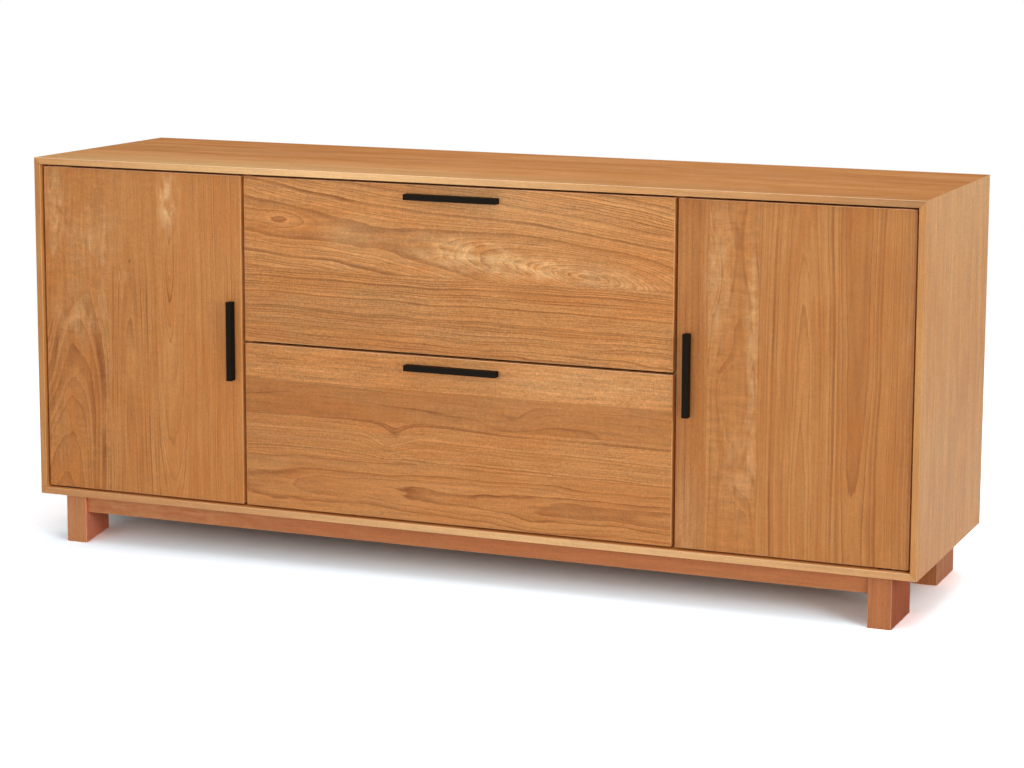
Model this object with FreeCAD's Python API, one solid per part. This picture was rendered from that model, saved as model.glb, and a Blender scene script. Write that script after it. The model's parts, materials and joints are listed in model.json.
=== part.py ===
import FreeCAD, Part
import math
import os

from FreeCAD import Vector

# Office credenza in cherry: a mitred case on a low base, two doors and two wide file drawers.
# Millimetres. The origin is on the floor, under the middle of the overall box.
# +X is to the right seen from the front, the front faces -Y, +Z is up.

# --- case ---
case_width = 1778.0
case_depth = 485.0
case_height = 668.0
panel = 12.7
partition_thick = 18.0
dado_deep = 4.0
back_thick = 6.0
rabbet_deep = 6.0
spline_thick = 3.0
spline_wide = 10.0
spline_stop = 24.0
spline_from_inner = 6.4
mitre_angle = 45.0

# --- base ---
leg_height = 96.0
leg_inset = 48.0
leg_depth = 132.0
leg_front_width = 44.0
leg_back_width = 14.0
leg_front_setback = 16.0
leg_back_setback = 4.0
leg_ease = 1.2
rail_height = 35.0
rail_thick = 20.0
rail_setback = 7.0

# --- doors and drawer fronts ---
front_setback = 7.0
front_thick = 19.0
front_ease = 0.8
reveal = 4.6
door_width = 432.5
middle_gap = 7.5
drawer_gap = 5.0
stop_gap = 2.0

# --- pulls ---
pull_section = 11.0
pull_reach = 16.0
pull_ease = 0.6
door_pull_length = 152.0
drawer_pull_length = 186.0
door_pull_from_edge = 20.5
drawer_pull_from_top = 22.0
pull_screw_inset = 13.0
pull_screw_radius = 2.0
pull_thread_deep = 10.0

# --- pivot hinges ---
leaf_thick = 2.0
leaf_sunk = 1.0
leaf_wide = 12.0
leaf_long = 50.0
collar_radius = 4.5
hinge_play = 0.3
pin_radius = 2.5
pin_play = 0.05
pin_past_leaf = 3.0
pin_end_room = 1.0
axis_from_edge = 8.0
leaf_screws_at = (20.0, 38.0)

# --- magnetic catches ---
catch_wide = 40.0
catch_deep = 14.0
catch_high = 16.0
strike_wide = 30.0
strike_high = 9.0
strike_thick = 1.2
catch_from_door_edge = 40.0
catch_play = 0.3

# --- shelves ---
shelf_thick = 16.0
shelf_side_play = 0.8
shelf_front_setback = 12.0
shelf_share = 0.5
peg_radius = 2.5
peg_in_wood = 8.0
peg_out = 8.0
peg_inset = 50.0
peg_pitch = 32.0
peg_rows = 5
peg_play = 0.1

# --- drawer boxes ---
slide_room = 12.7
box_side = 12.0
box_back_room = 37.0
box_above_front_bottom = 20.0
box_below_front_top = 44.2
box_bottom_thick = 6.0
box_bottom_up = 8.0
groove_deep = 5.0

# --- drawer slides ---
slide_height = 45.0
slide_steel = 1.2
slide_play = 0.4
slide_flange = 9.5
slide_up_box = 62.0
slide_front_gap = 4.0
slide_back_gap = 6.0
slide_screw_ends = 40.0

# --- hanging file rails ---
file_rail_inset = 34.5
file_rail_thick = 3.0
file_rail_high = 18.0
file_rail_end_play = 0.5
clip_wide = 8.0
clip_long = 24.0
clip_high = 26.0
clip_play = 0.1

# --- screws ---
screw_radius = 2.0
small_screw_radius = 1.5
screw_head = 2.0
screw_fit = 0.05
screw_cover = 4.0
back_screw_long = 19.0
leaf_door_screw_long = 18.0
front_screw_inset = 60.0
base_screw_inset = 24.0
rail_screw_shares = (0.25, 0.75)
stretcher_screw_inset = 60.0
back_screw_pitch = 220.0

# --- places worked out from the sizes ---
half = case_width / 2
pull_past_case = pull_reach - front_setback
case_front = -(case_depth - pull_past_case) / 2
case_back = case_front + case_depth
case_bottom_z = leg_height
case_top_z = leg_height + case_height
inner_x = half - panel
inner_bottom = case_bottom_z + panel
inner_top = case_top_z - panel
back_front = case_back - back_thick
front_face = case_front + front_setback
front_back = front_face + front_thick
partition_front = front_back + stop_gap
door_outer_x = inner_x - reveal
door_inner_x = door_outer_x - door_width
drawer_half = door_inner_x - middle_gap
partition_x = door_inner_x - middle_gap / 2
bay_x = partition_x - partition_thick / 2
bay_outer_x = partition_x + partition_thick / 2
front_bottom = inner_bottom + reveal
front_top = inner_top - reveal
drawer_height = (front_top - front_bottom - drawer_gap) / 2
drawer_bottoms = {"lower": front_bottom, "upper": front_top - drawer_height}
leg_outer_x = half - leg_inset
leg_front_y = case_front + leg_front_setback
leg_back_y = case_back - leg_back_setback - leg_depth
axis_x = door_outer_x - axis_from_edge
axis_y = front_face + front_thick / 2
leaf_proud = leaf_thick - leaf_sunk
collar_thick = reveal - 2 * leaf_proud - hinge_play
box_x = bay_x - slide_room
box_depth = back_front - front_back - box_back_room
box_height = drawer_height - box_above_front_bottom - box_below_front_top
slide_length = box_depth - slide_front_gap - slide_back_gap
sides = {"left": -1, "right": 1}

nodes = {}


def board(x0, x1, y0, y1, z0, z1):
    low = Vector(min(x0, x1), min(y0, y1), min(z0, z1))
    return Part.makeBox(abs(x1 - x0), abs(y1 - y0), abs(z1 - z0), low)


def prism_along_y(points, y0, y1):
    loop = [Vector(x, y0, z) for x, z in points]
    face = Part.Face(Part.makePolygon(loop + loop[:1]))
    return face.extrude(Vector(0, y1 - y0, 0))


def prism_up(points, z0, z1):
    loop = [Vector(x, y, z0) for x, y in points]
    face = Part.Face(Part.makePolygon(loop + loop[:1]))
    return face.extrude(Vector(0, 0, z1 - z0))


def rod(radius, start, direction, length):
    return Part.makeCylinder(radius, length, start, direction)


def countersunk(radius, length, head_face, direction, fit=0.0):
    # The head's flat is at head_face, and the shank runs along direction.
    wide = 2 * radius + fit
    head = Part.makeCone(wide, radius + fit, screw_head, head_face, direction)
    return head.fuse(rod(radius + fit, head_face, direction, length + fit))


def pan_head(radius, length, under_head, direction, fit=0.0):
    # The head's underside is at under_head, and the shank runs along direction.
    back = Vector(direction) * -1
    head = rod(2 * radius + fit, under_head, back, screw_head)
    return head.fuse(rod(radius + fit, under_head, direction, length))


def mirrored(shape):
    return shape.mirror(Vector(0, 0, 0), Vector(1, 0, 0))


def for_side(shape, side):
    # Pieces are drawn on the right, where side is 1.
    return shape if side > 0 else mirrored(shape)


def cut_all(shape, tools):
    return shape.cut(list(tools)) if tools else shape


def ease(shape, radius, wanted):
    edges = [edge for edge in shape.Edges if wanted(edge)]
    return shape.makeFillet(radius, edges)


def is_upright(edge):
    first, last = edge.Vertexes[0].Point, edge.Vertexes[-1].Point
    return abs(first.x - last.x) < 1e-6 and abs(first.y - last.y) < 1e-6


def lies_at_y(y):
    return lambda edge: all(abs(vertex.Point.y - y) < 1e-6 for vertex in edge.Vertexes)


def keep(name, *solids):
    nodes[name] = solids[0] if len(solids) == 1 else Part.makeCompound(list(solids))


# --- base: four wedge-shaped legs, rails between them and two stretchers ---
def leg(front_y):
    plan = [
        (leg_outer_x, front_y),
        (leg_outer_x - leg_front_width, front_y),
        (leg_outer_x - leg_back_width, front_y + leg_depth),
        (leg_outer_x, front_y + leg_depth),
    ]
    return ease(prism_up(plan, 0, leg_height), leg_ease, is_upright)


def leg_inner_x(along):
    # X of a leg's sloping inner face, at a distance behind its front.
    narrowing = (leg_front_width - leg_back_width) * along / leg_depth
    return leg_outer_x - leg_front_width + narrowing


def rail(leg_y, along):
    near = leg_inner_x(along)
    far = leg_inner_x(along + rail_thick)
    y0 = leg_y + along
    y1 = y0 + rail_thick
    plan = [(-near, y0), (near, y0), (far, y1), (-far, y1)]
    return prism_up(plan, leg_height - rail_height, leg_height)


back_rail_along = leg_depth - rail_setback - rail_thick
rail_front_y = leg_front_y + rail_setback
rail_back_y = leg_back_y + back_rail_along
legs = {}
for side_name, side in sides.items():
    legs["leg_front_" + side_name] = for_side(leg(leg_front_y), side)
    legs["leg_back_" + side_name] = for_side(leg(leg_back_y), side)
rails = {
    "rail_front": rail(leg_front_y, rail_setback),
    "rail_back": rail(leg_back_y, back_rail_along),
}
stretchers = [
    board(
        side * partition_x - rail_thick / 2,
        side * partition_x + rail_thick / 2,
        rail_front_y + rail_thick,
        rail_back_y,
        leg_height - rail_height,
        leg_height,
    )
    for side in sides.values()
]


def base_screw_places():
    places = []
    for side in sides.values():
        for leg_y in (leg_front_y, leg_back_y):
            for along in (base_screw_inset, leg_depth / 2):
                middle = (leg_outer_x + leg_inner_x(along)) / 2
                places.append((side * middle, leg_y + along))
        for share in rail_screw_shares:
            for rail_y in (rail_front_y, rail_back_y):
                places.append((side * share * leg_outer_x, rail_y + rail_thick / 2))
        for end_y in (
            rail_front_y + rail_thick + stretcher_screw_inset,
            rail_back_y - stretcher_screw_inset,
        ):
            places.append((side * partition_x, end_y))
    return places


def base_screws(fit=0.0):
    # Each screw starts flush in the case bottom, or under a partition where one stands on it.
    made = []
    tip = leg_height - rail_height + screw_cover
    for x, y in base_screw_places():
        under_partition = abs(abs(x) - partition_x) < partition_thick
        top = inner_bottom - (dado_deep if under_partition else 0)
        head = Vector(x, y, top)
        made.append(countersunk(screw_radius, top - tip, head, Vector(0, 0, -1), fit))
    return made


base_screw_holes = base_screws(screw_fit)
for name, shape in list(legs.items()) + list(rails.items()):
    keep(name, cut_all(shape, base_screw_holes))
keep("base_stretchers", *[cut_all(shape, base_screw_holes) for shape in stretchers])
keep("base_screws", *base_screws())


# --- case: four mitred boards, splines, partitions and a back in a rabbet ---
back_panel = board(
    -inner_x - rabbet_deep,
    inner_x + rabbet_deep,
    back_front,
    case_back,
    inner_bottom - rabbet_deep,
    inner_top + rabbet_deep,
)


def partition(side):
    return board(
        side * partition_x - partition_thick / 2,
        side * partition_x + partition_thick / 2,
        partition_front,
        back_front,
        inner_bottom - dado_deep,
        inner_top + dado_deep,
    )


def spline(side, up):
    # A loose tongue across a mitre, square to the glue line and stopped short of both ends.
    shape = board(
        -spline_wide / 2,
        spline_wide / 2,
        case_front + spline_stop,
        back_front - spline_stop,
        -spline_thick / 2,
        spline_thick / 2,
    )
    shape.rotate(Vector(0, 0, 0), Vector(0, 1, 0), mitre_angle * side * up)
    step = spline_from_inner / math.sqrt(2)
    corner_z = inner_top if up > 0 else inner_bottom
    shape.translate(Vector(side * (inner_x + step), 0, corner_z + up * step))
    return shape


def side_board():
    outline = [
        (half, case_bottom_z),
        (half, case_top_z),
        (inner_x, inner_top),
        (inner_x, inner_bottom),
    ]
    return prism_along_y(outline, case_front, case_back)


def level_board(outer_z, inner_z):
    outline = [(-half, outer_z), (half, outer_z), (inner_x, inner_z), (-inner_x, inner_z)]
    return prism_along_y(outline, case_front, case_back)


partitions = {name: partition(side) for name, side in sides.items()}
splines = [spline(side, up) for side in sides.values() for up in (-1, 1)]
case_joints = [back_panel, *partitions.values(), *splines]


# --- shelves on pegs, with rows of spare peg holes ---
shelf_front_y = partition_front + shelf_front_setback
shelf_z = inner_bottom + shelf_share * (inner_top - inner_bottom) - shelf_thick / 2
peg_ys = (shelf_front_y + peg_inset, back_front - peg_inset)
peg_z = shelf_z - peg_radius


def shelf():
    return board(
        bay_outer_x + shelf_side_play,
        inner_x - shelf_side_play,
        shelf_front_y,
        back_front - shelf_side_play,
        shelf_z,
        shelf_z + shelf_thick,
    )


def peg(x, y, inward):
    start = Vector(x - inward * peg_in_wood, y, peg_z)
    return rod(peg_radius, start, Vector(inward, 0, 0), peg_in_wood + peg_out)


def pegs():
    made = []
    for y in peg_ys:
        made.append(peg(inner_x, y, -1))
        made.append(peg(bay_outer_x, y, 1))
    return made


def peg_holes(x, outward):
    lowest = peg_z - (peg_rows - 1) / 2 * peg_pitch
    return [
        rod(
            peg_radius + peg_play,
            Vector(x, y, lowest + row * peg_pitch),
            Vector(outward, 0, 0),
            peg_in_wood + peg_play,
        )
        for y in peg_ys
        for row in range(peg_rows)
    ]


# --- back screws, driven into the partitions and the middle boards from behind ---
def back_screws(fit=0.0):
    forward = Vector(0, -1, 0)
    made = []
    count = int((case_height - 2 * panel) // back_screw_pitch) + 1
    span = (count - 1) * back_screw_pitch
    middle = (inner_bottom + inner_top) / 2
    for side in sides.values():
        for row in range(count):
            place = Vector(side * partition_x, case_back, middle - span / 2 + row * back_screw_pitch)
            made.append(countersunk(small_screw_radius, back_screw_long, place, forward, fit))
    return made


# --- pivot hinges: a leaf with a pin on the case, a bored leaf let into the door's edge ---
def leaf_plate(z0, z1):
    plate = board(
        axis_x - leaf_long,
        axis_x,
        axis_y - leaf_wide / 2,
        axis_y + leaf_wide / 2,
        z0,
        z1,
    )
    nose = rod(leaf_wide / 2, Vector(axis_x, axis_y, z0), Vector(0, 0, 1), z1 - z0)
    return plate.fuse(nose).removeSplitter()


def leaf_screws(up, on_door, fit=0.0):
    # up is 1 at the top of the door and -1 at the bottom.
    case_z = inner_top if up > 0 else inner_bottom
    door_z = front_top if up > 0 else front_bottom
    if on_door:
        z, way, length = door_z + up * leaf_proud, -up, leaf_door_screw_long
    else:
        z, way, length = case_z - up * leaf_proud, up, leaf_proud + panel - screw_cover
    return [
        countersunk(
            small_screw_radius, length, Vector(axis_x - at, axis_y, z), Vector(0, 0, way), fit
        )
        for at in leaf_screws_at
    ]


def case_leaf(up):
    surface = inner_top if up > 0 else inner_bottom
    low = surface - up * leaf_proud
    plate = leaf_plate(min(low, surface + up * leaf_sunk), max(low, surface + up * leaf_sunk))
    toward_door = Vector(0, 0, -up)
    start = Vector(axis_x, axis_y, low)
    collar = rod(collar_radius, start, toward_door, collar_thick)
    pin_length = collar_thick + hinge_play + leaf_thick + pin_past_leaf
    pin = rod(pin_radius, start, toward_door, pin_length)
    return cut_all(plate.fuse([collar, pin]), leaf_screws(up, False, screw_fit))


def case_leaf_mortise(up):
    surface = inner_top if up > 0 else inner_bottom
    return leaf_plate(min(surface, surface + up * leaf_sunk), max(surface, surface + up * leaf_sunk))


def door_leaf_blank(up):
    edge = front_top if up > 0 else front_bottom
    ends = (edge - up * leaf_sunk, edge + up * leaf_proud)
    return leaf_plate(min(ends), max(ends))


def door_leaf(up):
    edge = front_top if up > 0 else front_bottom
    start = Vector(axis_x, axis_y, edge - up * leaf_thick)
    bore = rod(pin_radius + pin_play, start, Vector(0, 0, up), 2 * leaf_thick)
    return cut_all(door_leaf_blank(up), [bore, *leaf_screws(up, True, screw_fit)])


def door_pin_hole(up):
    edge = front_top if up > 0 else front_bottom
    start = Vector(axis_x, axis_y, edge)
    deep = leaf_sunk + pin_past_leaf + pin_end_room
    return rod(pin_radius + pin_end_room, start, Vector(0, 0, -up), deep)


# --- magnetic catches under the case top ---
catch_x = door_inner_x + catch_from_door_edge
catch_front = front_back + strike_thick + catch_play


def catch():
    return board(
        catch_x - catch_wide / 2,
        catch_x + catch_wide / 2,
        catch_front,
        catch_front + catch_deep,
        inner_top - catch_high,
        inner_top,
    )


def strike():
    low = inner_top - catch_high
    return board(
        catch_x - strike_wide / 2,
        catch_x + strike_wide / 2,
        front_back,
        front_back + strike_thick,
        low,
        low + strike_high,
    )


# --- pulls: a solid bar, held from behind by two screws ---
def pull(length):
    # Drawn along X, with its back on the plane Y = 0 and its front towards -Y.
    high = pull_section / 2
    bar = board(-length / 2, length / 2, -pull_reach, 0, -high, high)
    on_wood = lies_at_y(0)
    outside = ease(bar, pull_ease, lambda edge: not on_wood(edge))
    threads = [
        rod(pull_screw_radius + screw_fit, Vector(x, 0, 0), Vector(0, -1, 0), pull_thread_deep)
        for x in pull_screw_xs(length)
    ]
    return cut_all(outside, threads)


def pull_screw_xs(length):
    out = length / 2 - pull_screw_inset
    return (-out, out)


def pull_screws(length, wood, fit=0.0):
    # The screws come from behind, through the wood that the pull stands on.
    reach = wood + pull_thread_deep - screw_head / 2
    return [
        pan_head(pull_screw_radius, reach, Vector(x, wood, 0), Vector(0, -1, 0), fit)
        for x in pull_screw_xs(length)
    ]


def stand_up(shape):
    turned = shape.copy()
    turned.rotate(Vector(0, 0, 0), Vector(0, 1, 0), 90)
    return turned


def moved(shape, x, y, z):
    placed = shape.copy()
    placed.translate(Vector(x, y, z))
    return placed


# --- doors ---
door_pull_x = door_inner_x + door_pull_from_edge
door_middle_z = (front_bottom + front_top) / 2


def on_door(shape):
    return moved(stand_up(shape), door_pull_x, front_face, door_middle_z)


def door_panel():
    slab = board(door_inner_x, door_outer_x, front_face, front_back, front_bottom, front_top)
    slab = ease(slab, front_ease, lies_at_y(front_face))
    cuts = [on_door(shape) for shape in pull_screws(door_pull_length, front_thick, screw_fit)]
    for up in (-1, 1):
        cuts += [door_leaf_blank(up), door_pin_hole(up), *leaf_screws(up, True, screw_fit)]
    return cut_all(slab, cuts)


for side_name, side in sides.items():
    door = "door_" + side_name
    screws = [on_door(shape) for shape in pull_screws(door_pull_length, front_thick)]
    for up in (-1, 1):
        screws += leaf_screws(up, True)
    keep(door, for_side(door_panel(), side))
    keep(door + "_pull", for_side(on_door(pull(door_pull_length)), side))
    keep(door + "_leaves", *[for_side(door_leaf(up), side) for up in (-1, 1)])
    keep(door + "_strike", for_side(strike(), side))
    keep(door + "_screws", *[for_side(shape, side) for shape in screws])


# --- drawer slides: three nested steel channels on each side ---
def channel(back_x, reach, height, z):
    # A channel whose web's outer face is at back_x and whose flanges run by reach.
    way = 1 if reach > 0 else -1
    y0 = front_back + slide_front_gap
    outer = board(back_x, back_x + reach, y0, y0 + slide_length, z - height / 2, z + height / 2)
    room = board(
        back_x + way * slide_steel,
        back_x + 2 * reach,
        y0 - slide_steel,
        y0 + slide_length + slide_steel,
        z - height / 2 + slide_steel,
        z + height / 2 - slide_steel,
    )
    return outer.cut(room)


nest_step = slide_steel + slide_play
mid_height = slide_height - 2 * nest_step
runner_height = mid_height - 2 * nest_step
mid_back_x = bay_x - nest_step
mid_reach = slide_room - nest_step - nest_step
runner_reach = slide_room - 2 * nest_step


def slide_screw_ys():
    y0 = front_back + slide_front_gap
    return (y0 + slide_screw_ends, y0 + slide_length / 2, y0 + slide_length - slide_screw_ends)


def slide_screws(face_x, way, length, z, fit=0.0):
    return [
        countersunk(small_screw_radius, length, Vector(face_x, y, z), Vector(way, 0, 0), fit)
        for y in slide_screw_ys()
    ]


def slide_z(drawer_bottom):
    return drawer_bottom + box_above_front_bottom + slide_up_box


def cabinet_screws(z, fit=0.0):
    length = slide_steel + partition_thick - screw_cover
    return slide_screws(bay_x - slide_steel, 1, length, z, fit)


def runner_screws(z, fit=0.0):
    length = slide_steel + box_side - screw_cover
    return slide_screws(box_x + slide_steel, -1, length, z, fit)


for level, drawer_bottom in drawer_bottoms.items():
    z = slide_z(drawer_bottom)
    cabinet = channel(bay_x, -slide_flange, slide_height, z)
    cabinet = cut_all(cabinet, cabinet_screws(z, screw_fit))
    middle = channel(mid_back_x, -mid_reach, mid_height, z)
    keep("slide_cabinet_" + level, *[for_side(cabinet, side) for side in sides.values()])
    keep("slide_middle_" + level, *[for_side(middle, side) for side in sides.values()])


# --- drawers ---
box_front_y = front_back
box_back_y = front_back + box_depth
box_inner_x = box_x - box_side


def box_pieces(box_z):
    # The bottom board sits in a groove in all four walls.
    bottom_z = box_z + box_bottom_up
    bottom = board(
        -box_inner_x - groove_deep,
        box_inner_x + groove_deep,
        box_front_y + box_side - groove_deep,
        box_back_y - box_side + groove_deep,
        bottom_z,
        bottom_z + box_bottom_thick,
    )
    top_z = box_z + box_height
    wall = board(box_inner_x, box_x, box_front_y, box_back_y, box_z, top_z)
    inner_front = board(
        -box_inner_x, box_inner_x, box_front_y, box_front_y + box_side, box_z, top_z
    )
    inner_back = board(-box_inner_x, box_inner_x, box_back_y - box_side, box_back_y, box_z, top_z)
    wall = cut_all(wall, [bottom, *runner_screws(box_z + slide_up_box, screw_fit)])
    return bottom, wall, inner_front.cut(bottom), inner_back.cut(bottom)


def file_rail(y, top_z):
    half_long = box_inner_x - file_rail_end_play
    return board(
        -half_long,
        half_long,
        y - file_rail_thick / 2,
        y + file_rail_thick / 2,
        top_z - file_rail_high,
        top_z,
    )


def file_clip(y, top_z):
    block = board(
        box_inner_x - clip_wide,
        box_inner_x,
        y - clip_long / 2,
        y + clip_long / 2,
        top_z - clip_high,
        top_z,
    )
    slot = board(
        box_inner_x - 2 * clip_wide,
        box_inner_x,
        y - file_rail_thick / 2 - clip_play,
        y + file_rail_thick / 2 + clip_play,
        top_z - file_rail_high,
        top_z + file_rail_high,
    )
    return block.cut(slot)


def front_screw_places(box_z):
    places = []
    for side in sides.values():
        for z in (box_z + front_screw_inset, box_z + box_height - front_screw_inset):
            places.append(Vector(side * (box_inner_x - front_screw_inset), box_front_y + box_side, z))
    return places


def front_screws(box_z, fit=0.0):
    forward = Vector(0, -1, 0)
    length = box_side + front_thick - screw_cover
    return [
        countersunk(screw_radius, length, place, forward, fit)
        for place in front_screw_places(box_z)
    ]


file_rail_ys = (
    box_front_y + box_side + file_rail_inset,
    box_back_y - box_side - file_rail_inset,
)
for level, drawer_bottom in drawer_bottoms.items():
    drawer = "drawer_" + level
    box_z = drawer_bottom + box_above_front_bottom
    box_top = box_z + box_height
    drawer_top = drawer_bottom + drawer_height
    pull_z = drawer_top - drawer_pull_from_top
    # Where the pull is above the box, its screws start behind the front itself.
    above_box = pull_z - pull_section / 2 > box_top
    pull_wood = front_thick + (0 if above_box else box_side)
    place = (0, front_face, pull_z)
    pull_holes = [
        moved(shape, *place) for shape in pull_screws(drawer_pull_length, pull_wood, screw_fit)
    ]
    screw_holes = pull_holes + front_screws(box_z, screw_fit)
    front = board(-drawer_half, drawer_half, front_face, front_back, drawer_bottom, drawer_top)
    front = ease(front, front_ease, lies_at_y(front_face))
    bottom, wall, inner_front, inner_back = box_pieces(box_z)
    z = slide_z(drawer_bottom)
    runner = channel(box_x, runner_reach, runner_height, z)
    runner = cut_all(runner, runner_screws(z, screw_fit))
    screws = [moved(shape, *place) for shape in pull_screws(drawer_pull_length, pull_wood)]
    screws += front_screws(box_z)
    for side in sides.values():
        screws += [for_side(shape, side) for shape in runner_screws(z)]
    keep(drawer + "_front", cut_all(front, screw_holes))
    keep(drawer + "_pull", moved(pull(drawer_pull_length), *place))
    keep(drawer + "_side_left", mirrored(wall))
    keep(drawer + "_side_right", wall)
    keep(drawer + "_inner_front", cut_all(inner_front, screw_holes))
    keep(drawer + "_inner_back", inner_back)
    keep(drawer + "_bottom", bottom)
    keep(drawer + "_runners", *[for_side(runner, side) for side in sides.values()])
    keep(drawer + "_screws", *screws)
    keep(drawer + "_file_rails", *[file_rail(y, box_top) for y in file_rail_ys])
    clips = [file_clip(y, box_top) for y in file_rail_ys]
    keep(drawer + "_rail_clips", *[for_side(clip, side) for side in sides.values() for clip in clips])


# --- the case boards, cut for all that is let into them ---
slide_holes = [
    hole
    for drawer_bottom in drawer_bottoms.values()
    for hole in cabinet_screws(slide_z(drawer_bottom), screw_fit)
]
back_holes = back_screws(screw_fit)
bottom_cuts = case_joints + base_screw_holes
top_cuts = list(case_joints)
for side in sides.values():
    for up, cuts in ((-1, bottom_cuts), (1, top_cuts)):
        lets = [case_leaf_mortise(up), *leaf_screws(up, False, screw_fit)]
        cuts += [for_side(shape, side) for shape in lets]
right_cuts = [back_panel, *splines, *peg_holes(inner_x, 1)]
right_board = cut_all(side_board(), right_cuts)
right_partition = cut_all(
    partitions["right"],
    [*peg_holes(bay_outer_x, -1), *slide_holes, *back_holes, *base_screw_holes],
)
keep("case_top", cut_all(level_board(case_top_z, inner_top), top_cuts))
keep("case_bottom", cut_all(level_board(case_bottom_z, inner_bottom), bottom_cuts))
keep("mitre_splines", *splines)
keep("back_panel", cut_all(back_panel, back_holes))
keep("back_screws", *back_screws())
for side_name, side in sides.items():
    keep("case_side_" + side_name, for_side(right_board, side))
    keep("partition_" + side_name, for_side(right_partition, side))
    keep("shelf_" + side_name, for_side(shelf(), side))
keep("shelf_pegs", *[for_side(shape, side) for side in sides.values() for shape in pegs()])
keep("hinge_leaves", *[for_side(case_leaf(up), side) for side in sides.values() for up in (-1, 1)])
keep("door_catches", *[for_side(catch(), side) for side in sides.values()])
case_screws = []
for side in sides.values():
    for up in (-1, 1):
        case_screws += [for_side(shape, side) for shape in leaf_screws(up, False)]
    for drawer_bottom in drawer_bottoms.values():
        z = slide_z(drawer_bottom)
        case_screws += [for_side(shape, side) for shape in cabinet_screws(z)]
keep("case_screws", *case_screws)

os.makedirs("parts", exist_ok=True)
for name, shape in nodes.items():
    shape.exportStep(os.path.join("parts", name + ".step"))
    print(name, len(shape.Solids), "solids", round(shape.Volume / 1000), "cm3", shape.isValid())
print("nodes:", len(nodes))
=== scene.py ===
import json
import math

import bmesh
import bpy
from mathutils import Matrix, Vector


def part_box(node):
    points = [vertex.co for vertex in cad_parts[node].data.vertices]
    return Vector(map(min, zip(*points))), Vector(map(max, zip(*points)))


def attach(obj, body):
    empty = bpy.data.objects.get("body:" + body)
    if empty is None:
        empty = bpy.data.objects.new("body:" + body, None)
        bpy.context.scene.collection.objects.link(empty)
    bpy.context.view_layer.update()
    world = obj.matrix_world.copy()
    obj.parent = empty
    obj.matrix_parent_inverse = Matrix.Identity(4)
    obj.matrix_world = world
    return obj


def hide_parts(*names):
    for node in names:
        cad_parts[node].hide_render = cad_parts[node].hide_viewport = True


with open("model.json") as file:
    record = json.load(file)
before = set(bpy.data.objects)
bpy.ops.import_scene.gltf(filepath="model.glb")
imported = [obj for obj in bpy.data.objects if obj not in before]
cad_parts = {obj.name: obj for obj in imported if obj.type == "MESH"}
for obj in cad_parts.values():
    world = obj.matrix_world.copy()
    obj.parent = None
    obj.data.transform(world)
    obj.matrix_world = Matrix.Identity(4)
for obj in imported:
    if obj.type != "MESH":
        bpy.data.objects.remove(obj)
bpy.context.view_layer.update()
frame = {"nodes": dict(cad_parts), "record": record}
nodes = frame["nodes"]
bodyOfNode = {
    name: body
    for body, names in frame["record"]["behaviour"]["bodies"].items()
    for name in names
}
slotOfNode = {name: node.data.materials[0].name for name, node in nodes.items()}
print("frame loaded:", len(nodes), "nodes")


def newObject(name, data):
    made = bpy.data.objects.new(name, data)
    bpy.context.scene.collection.objects.link(made)
    return made


# A long lens from the right of the middle, a little above the top.
cameraSetup = {
    "lens": 92.76,
    "sensor": 36.0,
    "shift": (-0.0717, -0.0920),
    "place": (1.9721, -4.6165, 1.2641),
    "turn": math.radians(21.292),
    "tilt": math.radians(8.364),
    "roll": math.radians(0.439),
}


def makeCamera(setup):
    data = bpy.data.cameras.new("camera")
    data.lens = setup["lens"]
    data.sensor_width = setup["sensor"]
    data.shift_x, data.shift_y = setup["shift"]
    camera = newObject("camera", data)
    # Straight ahead along +Y, then rolled, tipped down and turned to the left.
    turned = Matrix.Rotation(setup["turn"], 4, "Z")
    tipped = Matrix.Rotation(math.pi / 2 - setup["tilt"], 4, "X")
    rolled = Matrix.Rotation(setup["roll"], 4, "Z")
    camera.matrix_world = Matrix.Translation(setup["place"]) @ turned @ tipped @ rolled
    bpy.context.scene.camera = camera


makeCamera(cameraSetup)
print("camera placed")


# Small tools for node trees. A socket knows its own tree, so a sum needs only its values.
def colourOf(code, tint=(1.0, 1.0, 1.0)):
    # "#RRGGBB" as it looks on screen, to the linear colour that nodes use.
    parts = [int(code[i : i + 2], 16) / 255 for i in (1, 3, 5)]
    linear = [c / 12.92 if c <= 0.04045 else ((c + 0.055) / 1.055) ** 2.4 for c in parts]
    return (*(part * share for part, share in zip(linear, tint)), 1.0)


def feed(socket, value):
    if isinstance(value, bpy.types.NodeSocket):
        socket.id_data.links.new(value, socket)
    elif value is not None:
        socket.default_value = value


def treeOf(values):
    return next(v for v in values if isinstance(v, bpy.types.NodeSocket)).id_data


def fedNode(kind, values, tree=None, **settings):
    # A node that gets the values, one for each of its inputs in turn.
    node = (tree or treeOf(values)).nodes.new(kind)
    for key, setting in settings.items():
        setattr(node, key, setting)
    for socket, value in zip(node.inputs, values):
        feed(socket, value)
    return node


def calc(operation, *values, clamp=False):
    return fedNode("ShaderNodeMath", values, operation=operation, use_clamp=clamp).outputs[0]


def plus(first, second, clamp=False):
    return calc("ADD", first, second, clamp=clamp)


def minus(first, second):
    return calc("SUBTRACT", first, second)


def times(first, second, clamp=False):
    return calc("MULTIPLY", first, second, clamp=clamp)


def timesPlus(value, factor, more):
    return calc("MULTIPLY_ADD", value, factor, more)


def vectorCalc(operation, *values):
    node = fedNode("ShaderNodeVectorMath", values, operation=operation)
    return node.outputs["Value" if operation == "LENGTH" else 0]


def scaled(vector, factor):
    tree = treeOf((vector, factor))
    node = fedNode("ShaderNodeVectorMath", (vector,), tree, operation="SCALE")
    feed(node.inputs["Scale"], factor)
    return node.outputs[0]


def joined(x, y, z, tree=None):
    return fedNode("ShaderNodeCombineXYZ", (x, y, z), tree).outputs[0]


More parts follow.
